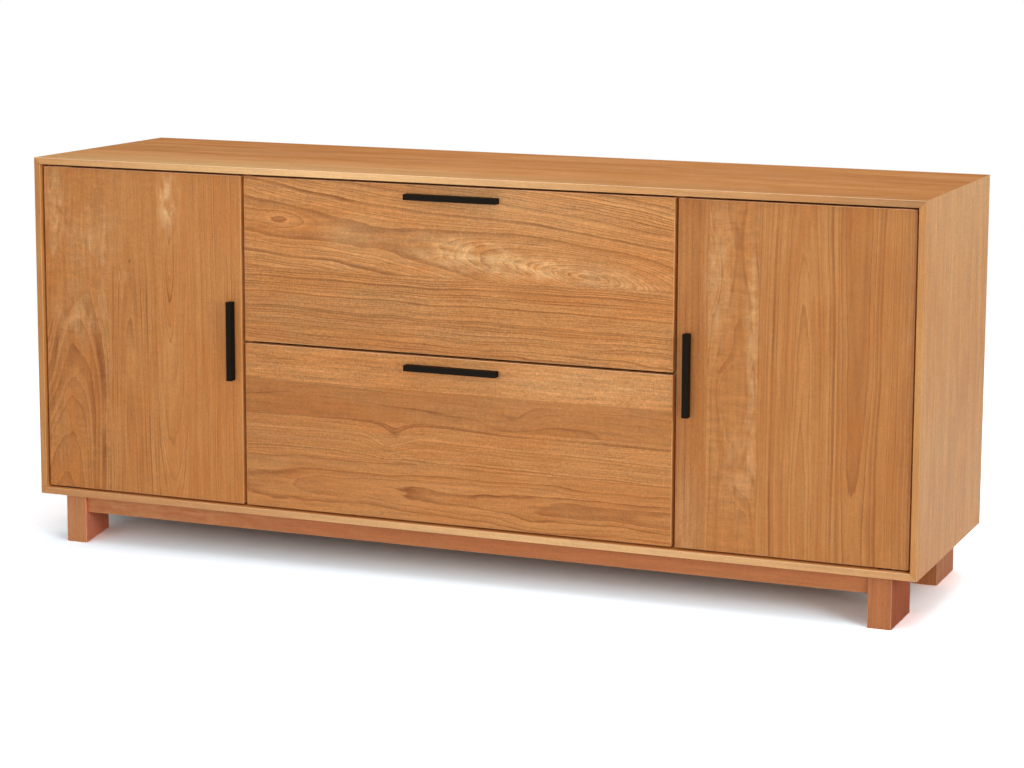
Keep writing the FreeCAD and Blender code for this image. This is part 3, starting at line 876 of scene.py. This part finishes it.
# Each wood, its board, and the nodes that wear it all over.
woods = {
    "cherry top": (topBoard, ["case_top"]),
    "cherry bottom": (bottomBoard, ["case_bottom"]),
    "cherry side": (sideBoard, ["case_side_left", "case_side_right"]),
    "cherry top edge": (topEdge, []),
    "cherry bottom edge": (bottomEdge, []),
    "cherry upright edge": (upEdge, []),
    "cherry front edge": (frontEdgePaintedLight, []),
    "cherry inside long": (insideLongPaintedLight, []),
    "cherry inside upright": (insideUpPaintedLight, []),
    "cherry back": (backBoard, ["back_panel"]),
    "cherry partition": (partitionBoard, ["partition_left", "partition_right", "base_stretchers"]),
    "cherry shelf": (shelfBoard, ["shelf_left", "shelf_right"]),
    "cherry left door": (leftDoor, ["door_left"]),
    "cherry right door": (rightDoor, ["door_right"]),
    "cherry upper drawer": (upperFront, ["drawer_upper_front"]),
    "cherry lower drawer": (lowerFront, ["drawer_lower_front"]),
    "cherry leg": (legBoard, [name for name in nodes if name.startswith("leg_")]),
    "cherry leg side": (legSidePaintedShade, []),
    "cherry leg inside": (legInsidePaintedLight, []),
    "cherry leg far side": (legFarPaintedLight, []),
    "cherry rail": (railBoard, ["rail_front", "rail_back"]),
    "maple box": (boxBoard, ["mitre_splines"]),
    "maple box side": (boxSideBoard, []),
    "maple box bottom": (boxBottomBoard, []),
}
for level in ("lower", "upper"):
    for wood, ends in {
        "maple box": ("inner_front", "inner_back"),
        "maple box side": ("side_left", "side_right"),
        "maple box bottom": ("bottom",),
    }.items():
        woods[wood][1].extend(f"drawer_{level}_{end}" for end in ends)
materials = {name: woodMaterial(name, board) for name, (board, wearers) in woods.items()}
materialOfNode = {node: name for name, (board, wearers) in woods.items() for node in wearers}
print("wood materials made:", len(materials))

# Metals and plastics, and the slots that wear them.
metalStart = {"scratches": 900.0, "metallic": 1.0, "depth": 0.00003, "sheen": 0.5}
plastic = {"roughness": 0.45, "scratches": 300.0, "metallic": 0.0}
metals = {
    "black powder coat": {
        "colour": "#1A150F", "roughness": 0.5, "scratches": 2500.0, "metallic": 0.0,
        "depth": 0.00006, "sheen": 0.04, "slots": ["pull_black"],
    },
    "zinc plate": {
        "colour": "#B9BAB8", "roughness": 0.28,
        "slots": ["peg_steel", "screw_steel", "slide_steel", "strike_steel"],
    },
    "brushed steel": {"colour": "#A3A4A6", "roughness": 0.32, "slots": ["file_rail_steel"]},
    "light bronze": {
        "colour": "#A86E42", "roughness": 0.42, "scratches": 400.0, "metallic": 0.6,
        "sheen": 0.3, "slots": ["hinge_steel"],
    },
    "moulded plastic": {**plastic, "colour": "#1B1B1C", "slots": ["clip_plastic"]},
    "brown plastic": {**plastic, "colour": "#6B452C", "slots": ["catch_plastic"]},
}
metalWear = {"smear": 0.25, "scratch": 0.15, "along": 40.0, "spread": 0.12}


def metalMaterial(name, given):
    # Fine scratches one way, faint smears, a little texture.
    metal = {**metalStart, **given}
    material, place, shader = startMaterial(name)
    fine = (metalWear["along"], metal["scratches"], metal["scratches"])
    lines = noise(vectorCalc("MULTIPLY", place, fine))[0]
    smear = grainNoise(place, "smear")[0]
    light = timesPlus(minus(smear, 0.5), metalWear["smear"], 1.0)
    light = timesPlus(minus(lines, 0.5), metalWear["scratch"], light)
    feed(shader.inputs["Base Color"], scaled(colourOf(metal["colour"])[:3], light))
    feed(shader.inputs["Roughness"], timesPlus(lines, metalWear["spread"], metal["roughness"]))
    shader.inputs["Metallic"].default_value = metal["metallic"]
    shader.inputs["Specular IOR Level"].default_value = metal["sheen"]
    bumped(shader, lines, metal["depth"])
    return material


for name, metal in metals.items():
    materials[name] = metalMaterial(name, metal)
metalOfSlot = {slot: name for name, metal in metals.items() for slot in metal["slots"]}
for name, node in nodes.items():
    worn = materialOfNode.get(name) or metalOfSlot[slotOfNode[name]]
    node.data.materials.clear()
    node.data.materials.append(materials[worn])
print("metals and plastics made:", len(metals))

# Boards with eased arrises. Some wear other woods on some of their sides, given by the axes
# that a face looks along, which way (0 is either way), and how squarely.
easing = {
    "arris": 0.0008,
    "frontArris": 0.0016,
    "upward": 3.0,  # how much paler an arris is that catches the light from above
    "upFrom": 0.2,
    "segments": 3,
    "flat": math.radians(0.3),
    "square": math.radians(100),
    "tilted": 0.995,  # an arris lies across the axes, and it is small
    "arrisArea": 0.003,
    "onSide": 1e-5,
    "merge": 1e-6,
}
fronts = ("door_left", "door_right", "drawer_upper_front", "drawer_lower_front")
otherSides = {
    # The case's inner faces wear the painted light for the shaded inside.
    "case_top": {"cherry top edge": ("y", -1), "cherry inside long": ("z", -1)},
    "case_bottom": {"cherry bottom edge": ("y", -1), "cherry inside long": ("z", 1)},
    "case_side_left": {"cherry upright edge": ("y", -1), "cherry inside upright": ("x", 1)},
    "case_side_right": {"cherry upright edge": ("y", -1), "cherry inside upright": ("x", -1)},
    # The legs' sides wear the painted shade and the paler painted-light copies.
    "leg_front_right": {"cherry leg side": ("x", 0)},
    "leg_back_right": {"cherry leg far side": ("x", 0)},
}
for name in ("leg_front_left", "leg_back_left"):
    otherSides[name] = {"cherry leg side": ("x", -1), "cherry leg inside": ("x", 1)}
# The fronts' sides wear the painted light for the gaps.
for name in fronts:
    otherSides[name] = {"cherry front edge": ("xz", 0, 0.8)}


def looks(normal, axes, way, least=0.6):
    lengths = [getattr(normal, axis) for axis in axes]
    return max(length * way if way else abs(length) for length in lengths) > least


def boxArrises(work, low, high):
    # The long square edges that lie on two of the board's six sides; a mitre stays sharp.
    def sidesOf(vertex):
        return {
            (axis, end)
            for axis in range(3)
            for end, corner in enumerate((low, high))
            if abs(vertex.co[axis] - corner[axis]) < easing["onSide"]
        }

    return [
        edge
        for edge in work.edges
        if len(sidesOf(edge.verts[0]) & sidesOf(edge.verts[1])) > 1
        and edge.calc_face_angle(0.0) < easing["square"]
    ]


def mergedCopy(nodeName):
    # The node's loose triangles with their doubles merged.
    work = bmesh.new()
    work.from_mesh(nodes[nodeName].data)
    bmesh.ops.remove_doubles(work, verts=work.verts, dist=easing["merge"])
    return work


def cleanCopy(nodeName):
    # Merged, and back to its flat faces.
    work = mergedCopy(nodeName)
    bmesh.ops.dissolve_limit(work, angle_limit=easing["flat"], verts=work.verts, edges=work.edges)
    for face in work.faces:
        face.material_index = 0
    return work


def bevelled(work, edges, width, segments=2):
    shape = {"offset": width, "offset_type": "OFFSET", "segments": segments, "profile": 0.5}
    made = bmesh.ops.bevel(work, geom=edges, affect="EDGES", clamp_overlap=True, **shape)
    return made["faces"]


def sharpEdges(work, least=0.0):
    square = math.radians(60)
    return [e for e in work.edges if e.calc_face_angle(0.0) > square and e.calc_length() > least]


def finishedMesh(work, name, *worn):
    mesh = bpy.data.meshes.new(name)
    work.to_mesh(mesh)
    work.free()
    for material in worn:
        mesh.materials.append(material)
    return mesh


def standFor(nodeName, mesh, suffix):
    piece = newObject(nodeName + suffix, mesh)
    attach(piece, bodyOfNode[nodeName])
    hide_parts(nodeName)


def easedBoard(nodeName, arris):
    low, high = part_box(nodeName)
    work = cleanCopy(nodeName)
    # The arris faces carry the mask of a painted highlight, stronger where they face up.
    layer = work.faces.layers.float.new("arris")
    for face in bevelled(work, boxArrises(work, low, high), arris, easing["segments"]):
        face[layer] = 1.0
    for face in work.faces:
        tilted = max(abs(c) for c in face.normal) < easing["tilted"]
        if tilted and face.calc_area() < easing["arrisArea"]:
            face[layer] = 1.0
        face.smooth = face[layer] > 0.5
        if face.smooth and face.normal.z > easing["upFrom"]:
            face[layer] = easing["upward"]
    others = otherSides.get(nodeName, {})
    for number, side in enumerate(others.values(), 1):
        for face in work.faces:
            if looks(face.normal, *side):
                face.material_index = number
    bmesh.ops.triangulate(work, faces=work.faces[:])
    worn = [nodes[nodeName].data.materials[0], *(materials[other] for other in others)]
    standFor(nodeName, finishedMesh(work, nodeName + "_board", *worn), "_board")


boards = [name for name in materialOfNode if name != "mitre_splines"]
for name in boards:
    easedBoard(name, easing["frontArris"] if name in fronts else easing["arris"])
print("boards eased:", len(boards))

# Metal and plastic parts, with their long edges softened by these widths.
partEasing = {"_strike": 0.0003, "_leaves": 0.0004, "_file_rails": 0.0004, "_rail_clips": 0.0008}
easedParts = {
    name: width
    for name in nodes
    for ending, width in partEasing.items()
    if name.endswith(ending)
}
shortestEased = 0.004


def smoothRounds(mesh, degrees=40):
    for face in mesh.polygons:
        face.use_smooth = True
    mesh.set_sharp_from_angle(angle=math.radians(degrees))


for name, width in easedParts.items():
    work = cleanCopy(name)
    bevelled(work, sharpEdges(work, shortestEased), width)
    bmesh.ops.triangulate(work, faces=work.faces[:])
    mesh = finishedMesh(work, name + "_eased", nodes[name].data.materials[0])
    smoothRounds(mesh)
    standFor(name, mesh, "_eased")

# Magnetic catches: a plastic housing, open in front, with two steel plates in its mouth.
catchShape = {
    "wide": 0.040,
    "wall": 0.004,
    "mouth": 0.0035,
    "ease": 0.0008,
    "plateThick": 0.0012,
    "plateApart": 0.0028,
    "plateDeep": 0.009,
    "plateBehind": 0.0003,
    "plateClear": 0.001,
    "plateEase": 0.0002,
}


def addBox(work, low, high):
    middle = (Vector(low) + Vector(high)) / 2
    size = Vector(high) - Vector(low)
    place = Matrix.Translation(middle) @ Matrix.Diagonal((*size, 1.0))
    return bmesh.ops.create_cube(work, size=1.0, matrix=place)["verts"]


def catchMesh(name, width, fill, material):
    work = bmesh.new()
    low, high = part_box("door_catches")
    for x in (low.x, high.x - catchShape["wide"]):
        fill(work, Vector((x, low.y, low.z)), Vector((x + catchShape["wide"], high.y, high.z)))
    bevelled(work, sharpEdges(work), width)
    bmesh.ops.recalc_face_normals(work, faces=work.faces)
    mesh = finishedMesh(work, name, materials[material])
    smoothRounds(mesh)
    return mesh


def fillHousing(work, low, high):
    verts = addBox(work, low, high)
    front = [f for f in work.faces if f.normal.y < -0.9 and f.verts[0] in verts]
    bmesh.ops.inset_region(work, faces=front, thickness=catchShape["wall"], use_even_offset=True)
    sunk = bmesh.ops.extrude_face_region(work, geom=front)["geom"]
    moved = [item for item in sunk if isinstance(item, bmesh.types.BMVert)]
    bmesh.ops.translate(work, verts=moved, vec=(0, catchShape["mouth"], 0))
    bmesh.ops.delete(work, geom=front, context="FACES_ONLY")


def fillPlates(work, low, high):
    inset = catchShape["wall"] + catchShape["plateClear"]
    front = low.y + catchShape["plateBehind"]
    for way in (-1, 1):
        level = (low.z + high.z) / 2 + way * catchShape["plateApart"] / 2
        far = level + way * catchShape["plateThick"]
        addBox(
            work,
            (low.x + inset, front, min(level, far)),
            (high.x - inset, low.y + catchShape["plateDeep"], max(level, far)),
        )


housings = catchMesh("door_catch_housings", catchShape["ease"], fillHousing, "brown plastic")
standFor("door_catches", housings, "_housings")
plates = catchMesh("door_catch_plates", catchShape["plateEase"], fillPlates, "zinc plate")
plateSet = newObject("door_catch_plates", plates)
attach(plateSet, "case")
print("metal and plastic parts made:", len(easedParts) + 2)

# Screws. Their places come from the solids; Geometry Nodes set a head and a shank on each.
screwShape = {
    "Sides": 20,
    "Head": 0.002,
    "Crown": 0.42,  # how far a pan head's rim drops, in head heights
    "Recess Width": 0.42,  # the cross in the head, in shank radii
    "Recess Reach": 2.1,
    "Recess Depth": 0.62,
    "Seed": 7,
}
screwReading = {"level": 0.0002, "panWidth": 0.9}
screwNodes = {
    "case": ["base_screws", "back_screws", "case_screws"],
    "door_left": ["door_left_screws"],
    "door_right": ["door_right_screws"],
    "drawer_upper": ["drawer_upper_screws"],
    "drawer_lower": ["drawer_lower_screws"],
}


def looseParts(nodeName):
    work = mergedCopy(nodeName)
    work.verts.ensure_lookup_table()
    left = set(range(len(work.verts)))
    while left:
        found, waiting = [], [left.pop()]
        while waiting:
            vertex = work.verts[waiting.pop()]
            found.append(vertex.co.copy())
            for edge in vertex.link_edges:
                other = edge.other_vert(vertex).index
                if other in left:
                    left.remove(other)
                    waiting.append(other)
        yield found
    work.free()


def screwPlace(points):
    # Where a screw's head sits, which way it faces, its shank's radius and length.
    low = Vector([min(p[i] for p in points) for i in range(3)])
    high = Vector([max(p[i] for p in points) for i in range(3)])
    size = high - low
    axis = max(range(3), key=lambda i: size[i])
    middle = (low + high) / 2

    def acrossOf(point):
        return [point[i] for i in range(3) if i != axis]

    def widthAt(level):
        near = [p for p in points if abs(p[axis] - level) < screwReading["level"]]
        return max((math.dist(acrossOf(p), acrossOf(middle)) for p in near), default=0.0)

    headUp = widthAt(high[axis]) > widthAt(low[axis])
    end = high[axis] if headUp else low[axis]
    out = Vector([0.0, 0.0, 0.0])
    out[axis] = 1.0 if headUp else -1.0
    wide = widthAt(end)
    top = middle.copy()
    top[axis] = end
    under = top - out * screwShape["Head"]
    pan = widthAt(under[axis]) > wide * screwReading["panWidth"]
    return {
        "place": under if pan else top,
        "out": out,
        "shank": wide / 2,
        "long": size[axis] - screwShape["Head"],
        "sunk": 0.0 if pan else screwShape["Head"],
    }


def makeScrewTree():
    tree = bpy.data.node_groups.new("screws on points", "GeometryNodeTree")
    kinds = {"Points": "Geometry", "Sides": "Int", "Seed": "Int", "Finish": "Material"}
    for label in ("Points", *screwShape, "Finish"):
        kind = "NodeSocket" + kinds.get(label, "Float")
        tree.interface.new_socket(label, in_out="INPUT", socket_type=kind)
    tree.interface.new_socket("Screws", in_out="OUTPUT", socket_type="NodeSocketGeometry")
    given = tree.nodes.new("NodeGroupInput").outputs

    def node(kind, settings=None, **links):
        made = tree.nodes.new(kind)
        for key, value in (settings or {}).items():
            setattr(made, key, value)
        for label, value in links.items():
            feed(made.inputs[label.replace("_", " ")], value)
        return made.outputs

    def named(label, kind):
        made = node("GeometryNodeInputNamedAttribute", {"data_type": kind}, Name=label)
        return made["Attribute"]

    def cylinder(**cuts):
        sides = given["Sides"]
        made = node("GeometryNodeMeshCylinder", Vertices=sides, Radius=1.0, Depth=1.0, **cuts)
        return made["Mesh"]

    def box(x, y, z, up, turn):
        cube = node("GeometryNodeMeshCube", Size=joined(x, y, z))["Mesh"]
        place = {"Translation": (0, 0, up), "Rotation": (0, 0, turn)}
        return node("GeometryNodeTransform", Geometry=cube, **place)["Geometry"]

    def head(isPan):
        # A short cylinder, one unit high, shaped into a crowned pan or a countersunk cone.
        start = cylinder(Side_Segments=2, Fill_Segments=3)
        x, y, z = parted(node("GeometryNodeInputPosition")[0])
        up = plus(z, 0.5)
        out = vectorCalc("LENGTH", joined(x, y, 0.0))
        if isPan:
            drop = times(calc("POWER", out, 3.0), given["Crown"])
            high = times(up, minus(1.0, drop))
            wide = 2.0
        else:
            high = minus(up, 1.0)
            wide = plus(up, 1.0)
        at = joined(times(x, wide), times(y, wide), high)
        shaped = node("GeometryNodeSetPosition", Geometry=start, Position=at)
        top = 1.0 if isPan else 0.0
        # Half of each cutter stands above the head.
        deep = times(given["Recess Depth"], 2.0)
        cross = {"operation": "DIFFERENCE", "solver": "EXACT"}
        both = tree.nodes.new("GeometryNodeMeshBoolean")
        both.operation = "UNION"
        both.solver = "EXACT"
        for turn in (0.0, math.pi / 2):
            arm = box(given["Recess Reach"], given["Recess Width"], deep, top, turn)
            feed(both.inputs["Mesh 2"], arm)
        return node("GeometryNodeMeshBoolean", cross, Mesh_1=shaped[0], Mesh_2=both.outputs[0])[0]

    hung = node("GeometryNodeTransform", Geometry=cylinder(), Translation=(0, 0, -0.5))
    out = named("out", "FLOAT_VECTOR")
    radius, long, sunk = (named(label, "FLOAT") for label in ("shank", "long", "sunk"))
    isSunk = calc("GREATER_THAN", sunk, 0.0)
    isPanHead = minus(1.0, isSunk)
    facing = node("FunctionNodeAlignRotationToVector", {"axis": "Z"}, Vector=out)[0]
    spin = tree.nodes.new("FunctionNodeRandomValue")
    spin.data_type = "FLOAT"
    feed(spin.inputs["Seed"], given["Seed"])
    feed(spin.inputs[3], math.pi)
    turned = node("FunctionNodeAxisAngleToRotation", Axis=(0, 0, 1), Angle=spin.outputs[1])[0]
    local = {"rotation_space": "LOCAL"}
    aimed = node("FunctionNodeRotateRotation", local, Rotation=facing, Rotate_By=turned)[0]

    # A shank starts where its head ends.
    down = scaled(out, times(sunk, -1.0))
    lowered = node("GeometryNodeSetPosition", Geometry=given["Points"], Offset=down)[0]
    layers = tree.nodes.new("GeometryNodeJoinGeometry")
    for points, shape, wanted, high in (
        (given["Points"], head(True), isPanHead, given["Head"]),
        (given["Points"], head(False), isSunk, given["Head"]),
        (lowered, hung["Geometry"], None, long),
    ):
        placed = node(
            "GeometryNodeInstanceOnPoints",
            Points=points,
            Instance=shape,
            Selection=wanted,
            Rotation=aimed,
            Scale=joined(radius, radius, high),
        )
        feed(layers.inputs[0], placed[0])
    real = node("GeometryNodeRealizeInstances", Geometry=layers.outputs[0])[0]
    finished = node("GeometryNodeSetMaterial", Geometry=real, Material=given["Finish"])[0]
    feed(tree.nodes.new("NodeGroupOutput").inputs[0], finished)
    return tree


def makeScrews(body, names, tree):
    places = [screwPlace(points) for name in names for points in looseParts(name)]
    places.sort(key=lambda place: tuple(place["place"]))
    mesh = bpy.data.meshes.new(f"{body}_screw_points")
    mesh.from_pydata([place["place"] for place in places], [], [])
    for item, place in zip(mesh.attributes.new("out", "FLOAT_VECTOR", "POINT").data, places):
        item.vector = place["out"]
    for label in ("shank", "long", "sunk"):
        for item, place in zip(mesh.attributes.new(label, "FLOAT", "POINT").data, places):
            item.value = place[label]
    start = newObject(f"{body}_screw_points", mesh)
    modifier = start.modifiers.new("screws", "NODES")
    modifier.node_group = tree
    inputs = {**screwShape, "Finish": materials["zinc plate"]}
    for item in tree.interface.items_tree:
        if item.name in inputs:
            modifier[item.identifier] = inputs[item.name]
    seen = start.evaluated_get(bpy.context.evaluated_depsgraph_get())
    made = bpy.data.meshes.new_from_object(seen)
    start.modifiers.remove(modifier)
    bpy.data.objects.remove(start)
    name = f"{body}_screws_cut"
    made.name = name
    made.materials.clear()
    made.materials.append(materials["zinc plate"])
    for face in made.polygons:
        face.material_index = 0
    smoothRounds(made, 30)
    piece = newObject(name, made)
    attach(piece, body)
    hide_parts(*names)
    return len(places)


screwTree = makeScrewTree()
screwCount = sum(makeScrews(body, names, screwTree) for body, names in screwNodes.items())
print("screws set:", screwCount)


# Floor, backdrop and lamps.
studio = {
    "floorSize": 14.0,
    "floorGrey": 0.75,  # what the floor throws back on the object
    "openWhite": (1.85, 1.95, 2.05),
    # Painted on the floor: a shadow under the case, bluer there to cancel the warm light off the
    # wood, and painted light that pales it towards the right.
    "underWhite": (1.3, 1.5, 1.62),  # under the case, where the wood warms the light
    "lift": 0.16,  # how much paler the floor grows to the right
    "liftFrom": -0.7,
    "liftTo": 0.5,
    "shadeMiddle": 0.1,
    "shadeDeep": 0.58,
    "shadeRise": (0.08, 0.25, 0.8),
    "shadeFall": (0.27, 0.37, -0.35),
    "openMiddle": (-0.06, -0.03),
    "openAside": (0.8, 0.92),
    "openBeyond": (0.2, 0.32),
    "fade": (1.6, 3.2),
    "ambient": 0.35,
}


def showsBackdrop(tree):
    # 1 for rays that should see the plain white background.
    path = tree.nodes.new("ShaderNodeLightPath").outputs
    seen = calc("MAXIMUM", path["Is Camera Ray"], path["Is Glossy Ray"])
    return calc("MAXIMUM", seen, path["Is Transmission Ray"])


def makeFloorMaterial():
    material, place, shader = startMaterial("pale floor")
    tree = material.node_tree
    tree.nodes.remove(shader)

    def surface(kind, *colour):
        made = tree.nodes.new(kind)
        if colour:
            made.inputs["Color"].default_value = (*colour, 1)
        return made

    plain = surface("ShaderNodeBsdfDiffuse", *[studio["floorGrey"]] * 3)
    bright = surface("ShaderNodeBsdfDiffuse")
    glow = surface("ShaderNodeEmission", 1, 1, 1)
    x, y = parted(place)[:2]
    # Painted light: the floor grows paler towards the right.
    right = rise(x, studio["liftFrom"], studio["liftTo"])
    lift = timesPlus(right, studio["lift"], 1.0)
    # Painted shadow: darkest under the middle of the case, paler past its feet.
    away = calc("ABSOLUTE", minus(y, studio["shadeMiddle"]))
    shade = studio["shadeDeep"]
    for low, high, change in (studio["shadeRise"], studio["shadeFall"]):
        shade = timesPlus(rise(away, low, high), change, shade)
    under = scaled(studio["underWhite"], times(shade, lift))
    fromMiddle = vectorCalc("SUBTRACT", place, (*studio["openMiddle"], 0.0))
    aside, beyond = parted(vectorCalc("ABSOLUTE", fromMiddle))[:2]
    aside, beyond = rise(aside, *studio["openAside"]), rise(beyond, *studio["openBeyond"])
    inOpen = calc("MAXIMUM", aside, beyond)
    feed(bright.inputs["Color"], mixed(inOpen, under, scaled(studio["openWhite"], lift)))
    far = rise(vectorCalc("LENGTH", place), *studio["fade"])
    shown = fedNode("ShaderNodeMixShader", (far, bright.outputs[0], glow.outputs[0])).outputs[0]
    either = fedNode("ShaderNodeMixShader", (showsBackdrop(tree), plain.outputs[0], shown))
    feed(tree.nodes["Material Output"].inputs[0], either.outputs[0])
    return material


def makeFloor():
    half = studio["floorSize"] / 2
    mesh = bpy.data.meshes.new("floor")
    corners = [(-half, -half, 0), (half, -half, 0), (half, half, 0), (-half, half, 0)]
    mesh.from_pydata(corners, [], [(0, 1, 2, 3)])
    mesh.materials.append(makeFloorMaterial())
    floor = newObject("floor", mesh)


def makeWorld():
    world = bpy.data.worlds.new("studio")
    world.use_nodes = True
    bpy.context.scene.world = world
    back = world.node_tree.nodes["Background"]
    back.inputs["Color"].default_value = (1, 1, 1, 1)
    seen, ambient = showsBackdrop(world.node_tree), studio["ambient"]
    feed(back.inputs["Strength"], timesPlus(seen, 1.0 - ambient, ambient))


lamps = {
    "overhead": {"place": (0.2, -0.6, 3.0), "aim": (0, 0, 0.3), "size": (3.2, 2.2), "power": 38},
    "front": {"place": (-0.9, -4.4, 1.0), "aim": (0, 0, 0.2), "size": (3.0, 1.4), "power": 50},
    "right": {"place": (4.2, -2.5, 1.4), "aim": (0.2, 0, 0.25), "size": (2.0, 1.6), "power": 82},
    "back": {"place": (-1.0, 4.0, 2.6), "aim": (0, 0, 0.4), "size": (3.0, 2.0), "power": 30},
}


def makeLamp(name, setup):
    data = bpy.data.lights.new(name, "AREA")
    data.shape = "RECTANGLE"
    data.size, data.size_y = setup["size"]
    data.energy = setup["power"]
    lamp = newObject(name, data)
    lamp.location = setup["place"]
    aim = Vector(setup["aim"]) - Vector(setup["place"])
    lamp.rotation_euler = aim.to_track_quat("-Z", "Y").to_euler()


makeFloor()
makeWorld()
for name, setup in lamps.items():
    makeLamp(name, setup)
bpy.context.scene.view_settings.view_transform = "Standard"
print("studio set")
